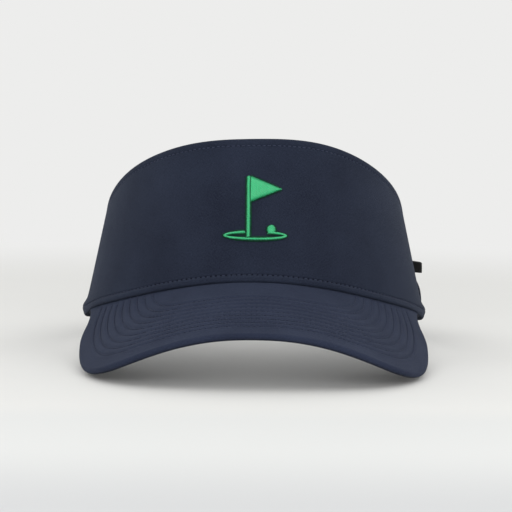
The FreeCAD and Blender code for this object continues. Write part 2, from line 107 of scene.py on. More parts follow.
def cone(angle, height, inset=0.0):
    """A point of the crown in the ring frame.

    The angle runs from the front towards +X, and the inset goes into the wall.
    """
    angle, height, inset = np.broadcast_arrays(
        np.asarray(angle, float), np.asarray(height, float), np.asarray(inset, float)
    )
    inset = inset + ripple(angle, height) - side_swell(angle)
    half_width = HALF_WIDTH - height * tan_deg(SIDE_LEAN) - inset
    front = FRONT - height * tan_deg(FRONT_LEAN) - inset
    back = BACK - height * tan_deg(BACK_LEAN) - inset
    half_depth, middle = (front + back) / 2, (back - front) / 2
    across, ahead = np.sin(np.radians(angle)), np.cos(np.radians(angle))
    square = (across / half_width) ** 2 + (ahead / half_depth) ** 2
    linear = ahead * middle / half_depth**2
    rest = (middle / half_depth) ** 2 - 1
    reach = (-linear + np.sqrt(linear**2 - square * rest)) / square
    return np.stack([reach * across, -reach * ahead, height], -1)


def table(points):
    """From the ring frame to the table's frame."""
    c, s = math.cos(math.radians(TILT)), math.sin(math.radians(TILT))
    x, y, z = points[..., 0], points[..., 1], points[..., 2]
    return np.stack([x, y * c + z * s, -y * s + z * c + LIFT], -1)


def surface(angle, height, inset=0.0):
    return table(cone(angle, height, inset))


def base(angle):
    """Height of the crown's base at an angle."""
    height = np.zeros(np.shape(angle))
    for _ in range(6):
        depth = cone(angle, height)[..., 1]
        height = BASE_RISE * np.clip(-depth / FRONT, 0, None) ** 3
    return height


# the top edge, seen from the side, is one Bezier: level in front, down past the ears, level at the back
share = np.linspace(0, 1, 200)
edge_front = -FRONT + FRONT_HEIGHT * tan_deg(FRONT_LEAN)
edge_y = [edge_front, edge_front + TOP_FRONT_RUN, BAND_START - TOP_BACK_RUN, BAND_START]
edge_h = [FRONT_HEIGHT, FRONT_HEIGHT, BAND_HEIGHT, BAND_HEIGHT]
weights = [(1 - share) ** 3, 3 * share * (1 - share) ** 2, 3 * share**2 * (1 - share), share**3]
TOP_Y = sum(w * y for w, y in zip(weights, edge_y))
TOP_H = sum(w * h for w, h in zip(weights, edge_h))
TOP_SAG, SAG_ANGLE, SAG_WIDTH = 0.8, -18.0, 24.0  # the top edge dips slightly on the wearer's right


def top(angle):
    """Height of the crown's top edge at an angle."""
    height = np.full(np.shape(angle), 55.0)
    for _ in range(24):
        depth = cone(angle, height)[..., 1]
        height = (height + np.interp(depth, TOP_Y, TOP_H)) / 2
    return height - TOP_SAG * dip(angle - SAG_ANGLE, SAG_WIDTH)


# ---- making meshes ----
def add_mesh(name, points, faces, body, slot, material, uv=None):
    """A mesh piece from points in millimetres. It rides on a body; the slot argument is not used."""
    mesh = bpy.data.meshes.new(name)
    mesh.from_pydata((np.asarray(points, float) * MM).tolist(), [], faces)
    if uv is not None:
        layer = mesh.uv_layers.new(name="UVMap")
        index = np.zeros(len(mesh.loops), int)
        mesh.loops.foreach_get("vertex_index", index)
        layer.data.foreach_set("uv", np.asarray(uv, float)[index].ravel())
    work = bmesh.new()
    work.from_mesh(mesh)
    bmesh.ops.recalc_face_normals(work, faces=work.faces)
    work.to_mesh(mesh)
    work.free()
    mesh.polygons.foreach_set("use_smooth", [True] * len(mesh.polygons))
    mesh.materials.append(material)
    piece = bpy.data.objects.new(name, mesh)
    bpy.context.scene.collection.objects.link(piece)
    if body:
        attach(piece, body)
    return piece


def grid_faces(count, across, closed):
    """Faces of a grid of count rows with across points each."""
    i, j = np.meshgrid(np.arange(count - 1), np.arange(across if closed else across - 1), indexing="ij")
    k = (j + 1) % across
    quads = np.stack([i * across + j, i * across + k, (i + 1) * across + k, (i + 1) * across + j], -1)
    return quads.reshape(-1, 4).tolist()


def lengths(points, axis):
    """How far each point is along its row or column."""
    step = np.linalg.norm(np.diff(points, axis=axis), axis=-1)
    start = np.zeros_like(np.take(step, [0], axis))
    return np.concatenate([start, np.cumsum(step, axis)], axis)


def unit(vectors):
    return vectors / np.maximum(np.linalg.norm(vectors, axis=-1, keepdims=True), 1e-9)


def there_and_back(outside, inside):
    """Closed rows: out along one face and back along the other."""
    return np.concatenate([outside, inside[:, ::-1]], 1)


def rounded(distance, radius, least=0.0):
    """A share of a ply's thickness: 1 inside, and down to the least in a quarter circle at its edge."""
    return least + (1 - least) * np.sqrt(1 - np.clip(1 - distance / radius, 0, 1) ** 2)


def eased(count):
    """Shares from 0 to 1 that lie close together near both ends."""
    return (1 - np.cos(np.linspace(0, np.pi, count))) / 2


def ring_of(side, up, sides):
    """Points of a ring round the origin, for each pair of its two axes."""
    turn = np.arange(sides) * 2 * math.pi / sides
    return side[..., None, :] * np.cos(turn)[:, None] + up[..., None, :] * np.sin(turn)[:, None]


def loft(name, rows, body, slot, material, closed=True, caps=(True, True)):
    """A skin over rows of points. Each closed row runs out along one face and back along the other."""
    count, across = rows.shape[:2]
    faces = grid_faces(count, across, closed)
    for wanted, first in zip(caps, (0, (count - 1) * across)):
        if closed and wanted:
            for j in range(across // 2 - 1):
                faces.append([first + j, first + j + 1, first + across - 2 - j, first + across - 1 - j])
    uv = np.stack([lengths(rows, 0).mean(1, keepdims=True) + 0 * rows[..., 0], lengths(rows, 1)], -1) / 100
    return add_mesh(name, rows.reshape(-1, 3), faces, body, slot, material, uv.reshape(-1, 2))


def round_ends(rows, radius):
    """Adds rows at both ends that draw in to the ply's middle, so that its cut ends look soft."""
    half = rows.shape[1] // 2
    for end, step in ((0, 1), (-1, -2)):
        row = rows[end]
        middle = (row + row[::-1]) / 2
        away = unit(row[:half].mean(0) - rows[step][:half].mean(0))
        extra = []
        for turn in (25, 50, 70, 84):
            c, s = math.cos(math.radians(turn)), math.sin(math.radians(turn))
            extra.append(middle + (row - middle) * c + away * radius * s)
        extra = np.array(extra)
        rows = np.concatenate([extra[::-1], rows]) if end == 0 else np.concatenate([rows, extra])
    return rows


def tubes(name, groups, body, slot, material, foot=True):
    """One piece of many small tubes. Each group is an array of tubes by rings by sides by points.

    Their ends are closed, apart from the feet where foot is False.
    """
    points, faces, first = [], [], 0
    for group in groups:
        count, rings, sides = group.shape[:3]
        block = rings * sides
        starts = first + np.arange(count)[:, None, None] * block
        ends = np.array([list(range(sides)), [block - 1 - k for k in range(sides)]][0 if foot else 1:])
        faces += (starts + np.array(grid_faces(rings, sides, True))).reshape(-1, 4).tolist()
        faces += (starts + ends).reshape(-1, sides).tolist()
        points.append(group.reshape(-1, 3))
        first += count * block
    return add_mesh(name, np.concatenate(points), faces, body, slot, material)


# ---- materials: every cloth has a weave, slight variation in colour and gloss, and a soft sheen ----
def srgb(red, green, blue):
    parts = [c / 255 for c in (red, green, blue)]
    return tuple(((c + 0.055) / 1.055) ** 2.4 if c > 0.04 else c / 12.92 for c in parts) + (1.0,)


class Nodes:
    """A short way to write a node tree."""

    def __init__(self, name):
        self.material = bpy.data.materials.new(name)
        self.material.use_nodes = True
        self.tree = self.material.node_tree
        self.shader = self.tree.nodes["Principled BSDF"]

    def add(self, kind, inputs=(), **settings):
        node = self.tree.nodes.new("ShaderNode" + kind)
        for key, value in settings.items():
            setattr(node, key, value)
        for key, value in dict(inputs).items():
            if isinstance(value, bpy.types.NodeSocket):
                self.tree.links.new(value, node.inputs[key])
            else:
                node.inputs[key].default_value = value
        return node

    def math(self, operation, first, second=0.0):
        return self.add("Math", {0: first, 1: second}, operation=operation).outputs[0]

    def scaled(self, value, factor):
        return self.math("MULTIPLY", value, factor)

    def noise(self, vector, scale, detail):
        return self.add("TexNoise", {"Vector": vector, "Scale": scale, "Detail": detail}).outputs[0]

    def span(self, value, low, high, start=0.0, end=1.0, curve="LINEAR"):
        """The value's place between low and high, as a number from start to end."""
        ranges = {0: value, 1: low, 2: high, 3: start, 4: end}
        return self.add("MapRange", ranges, interpolation_type=curve).outputs[0]

    def ease(self, value, low, high, start=0.0, end=1.0):
        return self.span(value, low, high, start, end, "SMOOTHSTEP")

    def mix(self, share, first, second):
        return self.add("Mix", {0: share, 6: first, 7: second}, data_type="RGBA").outputs[2]

    def bump(self, strength, distance, height):
        inputs = {"Strength": strength, "Distance": distance * MM, "Height": height}
        return self.add("Bump", inputs).outputs[0]

    def set(self, **values):
        for key, value in values.items():
            socket = self.shader.inputs[key.replace("_", " ")]
            if isinstance(value, bpy.types.NodeSocket):
                self.tree.links.new(value, socket)
            else:
                socket.default_value = value


WEAVE_TURNS = 100 * 2 * math.pi  # the UV map counts in 100 mm
MIXED_LOW, MIXED_HIGH = -0.1, 0.75  # what the pattern below mostly lies between


def weave_of(n, along, across, style):
    """The height of a cloth's yarns. Along and across count turns of its pitch."""
    if style == "plain":
        return n.math("MULTIPLY", n.math("SINE", along), n.math("SINE", across))
    if style == "twill":
        return n.math("SINE", n.math("ADD", along, across))
    if style == "rib":
        fine = n.scaled(n.math("SINE", n.scaled(along, 2.0)), 0.3)
        return n.math("ADD", n.math("SINE", across), fine)
    if style == "knit":
        bend_over = n.scaled(n.math("SINE", along), 1.3)
        return n.math("SINE", n.math("ADD", n.scaled(across, 0.5), bend_over))
    return n.math("SINE", n.scaled(along, 0.31))  # tape: broad cross bars


def cloth(name, colour, light, pitch=0.55, depth=0.12, rough=(0.72, 0.9), sheen=0.25, tint=(1, 1, 1, 1),
          style="plain", mottle=0.5, gloss=0.3):
    """Cloth: pitch is the distance between yarns and depth their height. The weave follows the UV map."""
    n = Nodes(name)
    uv = n.add("UVMap").outputs[0]
    split = n.add("SeparateXYZ", {0: uv})
    along, across = (n.scaled(split.outputs[k], WEAVE_TURNS / pitch) for k in (0, 1))
    weave = weave_of(n, along, across, style)
    place = n.add("TexCoord").outputs["Object"]
    broad, fibre = n.noise(place, 38.0, 4.0), n.noise(place, 1900.0, 2.0)
    yarns = []
    for stretch in ((260.0, 1500.0, 1.0), (1500.0, 260.0, 1.0)):
        spread = n.add("VectorMath", {0: uv, 1: stretch}, operation="MULTIPLY").outputs[0]
        yarns.append(n.noise(spread, 0.42, 1.5))
    slub = n.math("SUBTRACT", n.math("ADD", yarns[0], yarns[1]), 1.0)
    mixed = n.math("ADD", n.scaled(weave, 0.16), n.scaled(fibre, 0.55))
    mixed = n.math("ADD", mixed, n.scaled(n.math("SUBTRACT", broad, 0.5), mottle))
    mixed = n.math("ADD", mixed, n.scaled(slub, 0.9))
    relief = n.math("ADD", n.scaled(weave, 0.5), n.scaled(fibre, 0.5))
    relief = n.math("ADD", relief, n.scaled(slub, 1.5))
    n.set(Base_Color=n.mix(n.span(mixed, MIXED_LOW, MIXED_HIGH), colour, light),
          Roughness=n.span(mixed, MIXED_LOW, MIXED_HIGH, rough[1], rough[0]),
          Normal=n.bump(0.6, depth, relief), Sheen_Weight=sheen, Sheen_Roughness=0.5, Sheen_Tint=tint,
          Specular_IOR_Level=gloss)
    return n.material


def thread(name, colour, light, sheen=0.2, rough=0.55, gloss=0.4):
    """Sewing thread: twisted, so its bump runs in slanting bands."""
    n = Nodes(name)
    place = n.add("TexCoord").outputs["Object"]
    twist = n.add("TexWave", {"Vector": place, "Scale": 420.0, "Distortion": 1.5, "Detail": 1.0},
                  bands_direction="DIAGONAL").outputs["Fac"]
    fibre = n.noise(place, 2400.0, 2.0)
    tone = n.math("ADD", n.scaled(twist, 0.5), n.scaled(fibre, 0.5))
    n.set(Base_Color=n.mix(tone, colour, light), Roughness=n.span(fibre, 0.3, 0.7, rough - 0.1, rough + 0.1),
          Normal=n.bump(0.5, 0.06, tone), Sheen_Weight=sheen, Specular_IOR_Level=gloss)
    return n.material


def plastic(name, colour, light):
    n = Nodes(name)
    grain = n.add("TexNoise", {"Scale": 900.0, "Detail": 3.0}).outputs[0]
    n.set(Base_Color=n.mix(grain, colour, light), Roughness=0.45, Normal=n.bump(0.2, 0.05, grain))
    return n.material


SHELL_DARK, SHELL_LIGHT = srgb(15, 19, 32), srgb(43, 50, 67)
COOL = srgb(190, 205, 235)
NAVY_GLOSS = 0.09
shell_cloth = cloth("shell_cloth", SHELL_DARK, SHELL_LIGHT, 0.5, sheen=0.08, tint=COOL, gloss=NAVY_GLOSS)
strap_cloth = cloth("strap_cloth", SHELL_DARK, SHELL_LIGHT, 0.5, sheen=0.05, tint=COOL, gloss=NAVY_GLOSS)
brim_cloth = cloth("brim_cloth", srgb(23, 28, 44), srgb(50, 57, 77), 0.5, 0.14, sheen=0.06, tint=COOL,
                   gloss=NAVY_GLOSS)
under_cloth = cloth("under_cloth", srgb(22, 27, 41), srgb(33, 38, 54), 0.6, style="twill", sheen=0.05,
                    gloss=NAVY_GLOSS)
lining_cloth = cloth("lining_cloth", srgb(24, 28, 42), srgb(36, 41, 56), 0.7, style="twill", sheen=0.05,
                     gloss=NAVY_GLOSS)
buckram_mesh = cloth("buckram_mesh", srgb(150, 150, 146), srgb(196, 196, 190), 1.2, 0.3, sheen=0.0)
band_knit = cloth("band_knit", srgb(30, 33, 46), srgb(50, 54, 70), 1.1, 0.3, style="knit", sheen=0.35,
                  tint=srgb(160, 170, 200), mottle=0.7)
cotton_tape = cloth("cotton_tape", srgb(26, 29, 40), srgb(44, 48, 62), 0.9, 0.2, style="tape", sheen=0.15)
label_satin = cloth("label_satin", srgb(182, 184, 190), srgb(214, 216, 220), 0.35, 0.05, (0.35, 0.5), 0.3,
                    gloss=0.5)
loop_pile = cloth("loop_pile", srgb(20, 22, 30), srgb(46, 50, 62), 0.8, 0.5, sheen=0.5,
                  tint=srgb(150, 160, 190), mottle=1.2)
hook_face = cloth("hook_face", srgb(20, 21, 28), srgb(36, 38, 48), 1.3, 0.3, (0.35, 0.55), 0.0, gloss=0.5)
tab_webbing = cloth("tab_webbing", srgb(9, 9, 10), srgb(30, 30, 31), 0.8, 0.3, (0.5, 0.7), 0.1, style="rib")
navy_thread = thread("navy_thread", srgb(31, 37, 55), srgb(50, 57, 79), sheen=0.05, gloss=0.15)
dark_thread = thread("dark_thread", srgb(18, 21, 31), srgb(36, 40, 53), sheen=0.05, gloss=0.2)
green_thread = thread("green_thread", srgb(0, 140, 84), srgb(30, 205, 132), 0.15, rough=0.34, gloss=0.8)
green_edge = thread("green_edge", srgb(0, 40, 27), srgb(4, 66, 42), sheen=0.0, gloss=0.2)
# painted shade: a near-black colour for the discs between stitches
hole_shade = thread("hole_shade", srgb(10, 12, 18), srgb(16, 18, 26), sheen=0.0, gloss=0.0)
board_plastic = plastic("board_plastic", srgb(205, 207, 205), srgb(228, 229, 226))


# ---- stitching ----
def sewn(lines, pitch):
    """Each line that is long enough, with how far its points are along it, its stitches and their pitch."""
    for points, normals in lines:
        along = lengths(points, 0)
        count = int(along[-1] // pitch)
        if count:
            yield points, normals, along, count, along[-1] / count


def sample(where, along, values):
    """A line's values at distances along it."""
    return np.stack([np.interp(where, along, values[:, k]) for k in range(3)], -1)


def stitches(name, lines, body, material, pitch=STITCH_PITCH, length=2.25, radius=0.19, sink=0.26, rise=0.36):
    """Rows of single stitches. Each line is its points and the surface's normals there."""
    groups = []
    shares = np.linspace(0, 1, 7)
    for points, normals, along, count, step in sewn(lines, pitch):
        starts = (np.arange(count) + 0.5) * step - length / 2 + rng.normal(0, 0.05, count)
        where = starts[:, None] + shares[None, :] * length
        centre, normal = sample(where, along, points), unit(sample(where, along, normals))
        side = np.cross(unit(np.gradient(centre, axis=1)), normal)
        centre = centre + normal * (rise * np.sin(np.pi * shares) ** 0.6 - sink)[None, :, None]
        centre = centre + side * rng.normal(0, 0.04, (count, 1, 1))
        width = radius * np.sqrt(np.clip(1 - np.abs(2 * shares - 1) ** 3, 0.08, 1))[None, :, None, None]
        groups.append(centre[:, :, None] + ring_of(side * 1.15, normal, 6) * width)
    return tubes(name, groups, body, "thread", material)


def painted_hole_shadows(name, lines, radius):
    """Painted shade: small near-black discs between the stitches of a row, standing in for the shade in the
    dimples where the needle drew the cloth in.
    """
    groups = []
    for points, normals, along, count, step in sewn(lines, STITCH_PITCH):
        where = np.arange(1, count) * step + rng.normal(0, 0.05, count - 1)
        centre, normal = sample(where, along, points), unit(sample(where, along, normals))
        ahead = unit(np.gradient(centre, axis=0))
        size = (radius * rng.uniform(0.8, 1.15, count - 1))[:, None, None]
        flat = ring_of(ahead * 0.8, np.cross(ahead, normal), 8) * size
        rings = [centre[:, None] + flat * wide + normal[:, None] * (tall * 0.12 - 0.06)
                 for wide, tall in ((1.0, 0.0), (0.8, 0.5), (0.4, 0.85), (0.05, 1.0))]
        groups.append(np.stack(rings, 1))
    return tubes(name, groups, "visor", "thread", hole_shade)


def crown_line(angles, heights, inset=0.0):
    """A line on the crown and its outward normals."""
    points = surface(angles, heights, inset)
    outward = surface(angles, heights, inset - 1.0) - surface(angles, heights, inset)
    return points, outward


def inward_line(angles, heights, inset):
    points, outward = crown_line(angles, heights, inset)
    return points, -outward


def even(start, stop, step=0.5):
    return np.linspace(start, stop, max(2, int(abs(stop - start) / step) + 1))


# ---- crown shell: outer cloth with its rolled base and the turned, stitched top edge ----
BASE_ROW, TOP_ROW = 4.1, 2.7  # stitch rows over the base and under the top edge
HEM_DEPTH = 7.0
ROLL_SWELL = 0.90  # how far the rolled base stands out
EAR_ANGLE, EAR_DROP, EAR_SWELL = 85, 1.7, 1.5  # the panel's bulge behind the brim's ends


def ear_drop(angle):
    """Behind the brim's ends the front panel's rolled edge hangs a little lower."""
    aside = np.abs(angle)
    return EAR_DROP * smoothstep(58, 82, aside) * smoothstep(122, 92, aside)


def ear_swell(angle, over):
    """Behind the brim's ends the cloth also stands out in a soft bulge above its edge."""
    bulge = EAR_SWELL * dip(over - 5.0, 2.8) - 0.6 * dip(over, 2.2)
    return bulge * dip(np.abs(angle) - EAR_ANGLE, 9.5)


def shell_rows(angles, roll):
    """The shell's section at each angle: up the outside, over the top edge, and down the inside."""
    angles = angles[:, None]
    seam_gap = 0.4 * smoothstep(78, 66, np.abs(angles))  # the brim's seam lies in a narrow shadow
    low, high = base(angles) - ear_drop(angles) + seam_gap, top(angles) + 0.2
    near_base = np.array([0.0, 0.2, 0.5, 0.9, 1.4, 2.0, 2.6, 3.1, 3.5,
                          3.8, 4.0, 4.2, 4.5, 4.9, 5.5, 6.4, 7.6, 9.0])
    near_top = np.array([8.5, 6.5, 5.0, 4.0, 3.5, 3.2, 3.0, 2.8, 2.5, 2.0, 1.4, 0.8, 0.3])
    from_base, from_top = low + near_base, high - near_top
    between = from_base[:, -1:] + (from_top[:, :1] - from_base[:, -1:]) * np.linspace(0, 1, 22)[1:-1]
    heights = np.concatenate([from_base, between, from_top], 1)
    over, under = heights - low, high - heights
    above = over + seam_gap
    swell = roll(angles) * ROLL_SWELL * np.sqrt(np.clip(1 - ((above - 1.8) / 2.15) ** 2, 0, 1))
    tuck = 0.6 * np.clip(1 - over / 0.9, 0, 1) ** 2
    seam = 0.48 * dip(above - BASE_ROW, 0.45) * np.clip(roll(angles) * 1.7 - 0.6, 0.1, 1)
    hem_row = dip(under - TOP_ROW, 0.5)
    hem_swell = 0.16 * smoothstep(TOP_ROW + 0.3, TOP_ROW - 1.0, under)
    ear = ear_swell(angles, over)
    outside = -swell + tuck + seam + 0.26 * hem_row - hem_swell - ear
    turns = np.radians(np.linspace(12, 168, 10))
    over_top = high + 1.0 * np.sin(turns) + 0 * angles
    over_inset = 0.98 - 1.14 * np.cos(turns) + 0 * angles
    hem_step = 1.38 * smoothstep(HEM_DEPTH + 0.35, HEM_DEPTH - 0.35, under)
    inside = 0.72 + hem_step - 0.8 * ear - 0.18 * hem_row
    all_heights = np.concatenate([heights, over_top, heights[:, ::-1]], 1)
    all_insets = np.concatenate([outside, over_inset, inside[:, ::-1]], 1)
    return surface(angles, all_heights, all_insets)


def front_roll(angle):
    return 1.0 - 0.6 * smoothstep(72, 86, np.abs(angle))


def wing_roll(angle):
    return np.full(np.shape(angle), 0.4)


for name, start, stop, roll, nodes in (
    ("crown_front", 0.3 - SEAM_ANGLE, SEAM_ANGLE - 0.3, front_roll,
     ("crown_front_panel", "crown_top_hem", "crown_base_roll")),
    ("left_wing", SEAM_ANGLE + 0.3, LEFT_END - 0.4, wing_roll, ("left_wing_outer", "left_wing_hem")),
    ("right_wing", RIGHT_END + 0.4, 359.7 - SEAM_ANGLE, wing_roll, ("right_wing_outer", "right_wing_hem")),
):
    panel_rows = round_ends(shell_rows(even(start, stop, 0.8), roll), 0.4)
    panel = loft(name, panel_rows, "visor", "shell_fabric", shell_cloth)
    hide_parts(*nodes)


def ply_rows(angles, low, high, outer, inner, steps=24):
    """A plain ply between two heights, with soft edges."""
    angles = angles[:, None]
    low, high = (edge(angles) if callable(edge) else np.full(angles.shape, float(edge))
                 for edge in (low, high))
    share = eased(steps)
    heights = low + (high - low) * share
    middle, half = (outer + inner) / 2, (inner - outer) / 2
    soft = half * rounded(np.minimum(share, 1 - share) * (high - low), half * 1.6, 0.04)
    return surface(angles, there_and_back(heights, heights), there_and_back(middle - soft, middle + soft))


def lining_low(angle):
    return base(angle) + 0.6


def lining_top(angle):
    return top(angle) - HEM_DEPTH


WALL_LEAN = 10  # degrees, near enough all round
for name, angles, node in (
    ("crown_lining_cloth", even(1 - SEAM_ANGLE, SEAM_ANGLE - 1, 1.0), "crown_lining"),
    ("left_wing_lining_cloth", even(SEAM_ANGLE + 0.5, LEFT_END - 1.0, 1.0), "left_wing_lining"),
    ("right_wing_lining_cloth", even(RIGHT_END + 1.0, 359.5 - SEAM_ANGLE, 1.0), "right_wing_lining"),
):
    lining = loft(name, ply_rows(angles, lining_low, lining_top, 1.5, 1.9, 40), "visor", "lining_fabric",
                  lining_cloth)
    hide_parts(node)
    tall = (lining_top(angles) - lining_low(angles)) / math.cos(math.radians(WALL_LEAN))
    along = lengths(surface(angles, (base(angles) + lining_top(angles)) / 2, 1.7), 0)
buckram_rows = ply_rows(even(1 - SEAM_ANGLE, SEAM_ANGLE - 1, 1.0), lining_low, lambda a: lining_top(a) - 0.6,
                        0.82, 1.38, 12)
buckram = loft("crown_buckram", buckram_rows, "visor", "buckram", buckram_mesh)
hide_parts("crown_stiffener")
for side, seam in (("left", SEAM_ANGLE), ("right", 360 - SEAM_ANGLE)):
    tape_rows = ply_rows(even(seam - 3.2, seam + 3.2, 0.4), lambda a: base(a) + 2,
                         lambda a: lining_top(a) + 0.4, 1.95, 2.35, 30)
    tape = loft(f"{side}_side_tape", round_ends(tape_rows, 0.1), "visor", "cotton_tape", cotton_tape)
    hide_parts(f"{side}_seam_tape")

# ---- the crown's stitching ----
outer_lines, inner_lines = [], []
for start, stop in ((1.5 - SEAM_ANGLE, SEAM_ANGLE - 1.5), (SEAM_ANGLE + 1.5, LEFT_END - 1.6),
                    (RIGHT_END + 1.6, 358.5 - SEAM_ANGLE)):
    angles = even(start, stop)
    foot = base(angles) - ear_drop(angles) * (np.abs(angles) < SEAM_ANGLE)
    hem_row_height = top(angles) + 0.2 - TOP_ROW
    outer_lines.append(crown_line(angles, foot + BASE_ROW, 0.22))
    outer_lines.append(crown_line(angles, hem_row_height, 0.14))
    inner_lines.append(inward_line(angles, hem_row_height, 1.98))
for angle in (LEFT_END - 1.6, RIGHT_END + 1.6):
    heights = even(1.0, BAND_HEIGHT - 1.0)
    outer_lines.append(crown_line(np.full(heights.shape, angle), heights))
for seam in (SEAM_ANGLE, 360 - SEAM_ANGLE):
    for angle in (seam - 1.5, seam + 1.5):
        heights = even(float(base(np.array(angle))) + 2.0, float(top(np.array(angle))) - 1.0)
        outer_lines.append(crown_line(np.full(heights.shape, angle), heights))
        inner_lines.append(inward_line(np.full(heights.shape, angle), heights, 2.32))
stitches("crown_stitching", outer_lines, "visor", navy_thread, length=1.95, radius=0.27, sink=0.30)
# painted shade: dark discs between the stitches of the crown's rows
painted_hole_shadows("crown_base_painted_hole_shadows", outer_lines[:1], 0.42)
painted_hole_shadows("crown_painted_hole_shadows", outer_lines[1:], 0.17)
stitches("crown_inner_stitching", inner_lines, "visor", dark_thread)


# ---- sweatband: padded, stitched along its foot and its taped top edge ----
def band_low(angle):
    """The sweatband's foot: it also covers the brim's inner edge in front."""
    depth = cone(angle, 0)[..., 1]
    return (BASE_RISE - BRIM_THICK) * np.clip(-depth / FRONT, 0, None) ** 3 + 0.3


band_angles = even(RIGHT_END - 357, LEFT_END - 3, 0.8)
column = band_angles[:, None]
foot, head = band_low(column), base(column) + BAND_TOP
heights = foot + (head - foot) * eased(44)
above, below = heights - foot, head - heights
foot_curve, head_curve = (1 - rounded(distance, 1.5) for distance in (above, below))
grooves = 0.75 * dip(above - 3.4, 0.9) + 0.35 * dip(below - 4.6, 0.9)
pucker = 0.12 * np.sin(column * 2.1 + 0.7 * np.sin(column * 0.35)) * dip(above - 4.5, 4.0)
inner_face = 5.1 - 1.25 * foot_curve - 1.2 * head_curve - grooves - pucker
outer_face = 2.45 + 1.25 * foot_curve + 1.2 * head_curve
band_rows = surface(column, there_and_back(heights, heights), there_and_back(outer_face, inner_face))
sweatband = loft("sweatband", round_ends(band_rows, 1.0), "visor", "sweatband_knit", band_knit)
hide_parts("sweatband_foam", "sweatband_face")
tape_rows = ply_rows(band_angles, lambda a: base(a) + BAND_TOP - 4, lambda a: base(a) + BAND_TOP + 0.3,
                     5.18, 5.6, 12)
tape = loft("sweatband_top_tape", round_ends(tape_rows, 0.2), "visor", "cotton_tape", cotton_tape)
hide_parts("sweatband_tape")
row_angles = even(RIGHT_END - 356, LEFT_END - 4)
band_lines = [
    inward_line(row_angles, band_low(row_angles) + 3.4, 4.45),
    inward_line(row_angles, base(row_angles) + BAND_TOP - 3.3, 5.58),
    inward_line(row_angles, base(row_angles) + BAND_TOP - 0.5, 5.5),
]
stitches("sweatband_stitching", band_lines, "visor", dark_thread, length=2.1)

# ---- blank labels, sewn to the sweatband along their lower and upper edges ----
for name, node, first, last, low, high in (
    ("size_tab_label", "size_label", 168, 180, 6, 22),
    ("care_tab_label", "care_label", 148, 163, 4, 24),
):
    angles = even(first, last)
    label = loft(name, round_ends(ply_rows(angles, low, high, 5.2, 5.55, 16), 0.1), "visor", "label_satin",
                 label_satin)
    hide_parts(node)
    wide = float(lengths(surface(angles, (low + high) / 2, 5.4), 0)[-1])
    sewn_angles = even(first + 0.6, last - 0.6)
    ends = [inward_line(sewn_angles, np.full(sewn_angles.shape, h), 5.53) for h in (low + 1.2, high - 1.2)]
    stitches(name + "_stitching", ends, "visor", dark_thread, 2.0, 1.5, 0.14)


# ---- brim ----
def bezier(start, pull_start, pull_end, end, share):
    share = share[:, None]
    near = start * (1 - share) ** 3 + 3 * pull_start * share * (1 - share) ** 2
    return near + 3 * pull_end * share**2 * (1 - share) + end * share**3


def outline():
    """The brim's edge in plan on the +X side, by the share walked from the middle of its front."""
    seam = surface_plain(0.0, BASE_RISE, 0.0)
    end = surface_plain(BRIM_END - 4, 0.0, END_INSET)
    front, side, back = np.array([0, seam[1] - BRIM_LENGTH]), np.array([BRIM_HALF, BRIM_WIDEST]), end[:2]
    share = np.linspace(0, 1, 200)
    corner = bezier(front, front + [FRONT_PULL, 0], side - [0, SIDE_PULL], side, share)
    rest = bezier(side, side + [0, BACK_PULL], back - [0, BACK_PULL], back, share)
    line = np.concatenate([corner, rest[1:]])
    walked = lengths(line, 0)

    def walk(part):
        return np.array([np.interp(part * walked[-1], walked, line[:, k]) for k in range(2)])

    return walk, seam, end


def surface_plain(angle, height, inset):
    """The crown's surface with no ripple."""
    return surface(angle, height, inset - float(ripple(angle, height)))


walk, seam_point, end_point = outline()
STATIONS = 280


def arch(x, y):
    """Height of the brim's top."""
    level = seam_point[2] + (y - seam_point[1]) * tan_deg(BRIM_SLOPE)
    return level - BRIM_DROP * (abs(x) / DROP_WIDTH) ** BRIM_POWER


end_error = end_point[2] - arch(end_point[0], end_point[1])
inner_edge, outer_edge = [], []
for station in range(STATIONS + 1):
    part = 2 * station / STATIONS - 1
    angle = part * BRIM_END
    depth = float(cone(angle, 0.0)[1])
    rise = BASE_RISE * max(-depth / FRONT, 0) ** 3
    inner_edge.append(surface_plain(angle, rise - 0.3, 0.1))
    x, y = walk(abs(part))
    settle = min(max((y - BRIM_WIDEST) / (end_point[1] - BRIM_WIDEST), 0), 1)
    outer_edge.append([math.copysign(x, part), y, arch(x, y) + end_error * settle**2])
inner_edge, outer_edge = np.array(inner_edge), np.array(outer_edge)
REACH = STATIONS // 36  # a normal spans this many stations each way
CLAMP = STATIONS * 3 // 36  # near the ends the normals no longer turn
kept = np.clip(np.arange(STATIONS + 1), CLAMP, STATIONS - CLAMP)
both_edges = outer_edge + inner_edge
across = both_edges[kept + REACH] - both_edges[kept - REACH]
normals = unit(np.cross(across, inner_edge[kept] - outer_edge[kept]))
outward = unit(np.cross(unit(np.gradient(outer_edge, axis=0)), normals))
brim_heart = np.array([0, BRIM_WIDEST, outer_edge[:, 2].mean()])
outward *= np.sign((outward * (outer_edge - brim_heart)).sum(1, keepdims=True))
EDGE_ROUND = BRIM_THICK / 2
from_end = np.minimum(np.arange(STATIONS + 1), np.arange(STATIONS + 1)[::-1])
fullness = rounded(from_end, 14)[:, None]  # the brim's ends are closed and round
SEAM_TURN = -22.0  # where round the brim's edge its two covers meet

# the brim is cut flat and then bent, so its stitch rows are drawn on the flat pattern
arc_x = np.linspace(0, 100, 400)
arc_slope = BRIM_DROP * BRIM_POWER / DROP_WIDTH * (arc_x / DROP_WIDTH) ** (BRIM_POWER - 1)
arc_steps = np.sqrt(1 + ((arc_slope[1:] + arc_slope[:-1]) / 2) ** 2) * np.diff(arc_x)
arc_length = np.concatenate([[0], np.cumsum(arc_steps)])
PLAN_SHARE = math.cos(math.radians(BRIM_SLOPE))


def flatten(points):
    x = np.sign(points[..., 0]) * np.interp(np.abs(points[..., 0]), arc_x, arc_length)
    return np.stack([x, points[..., 1] / PLAN_SHARE], -1)


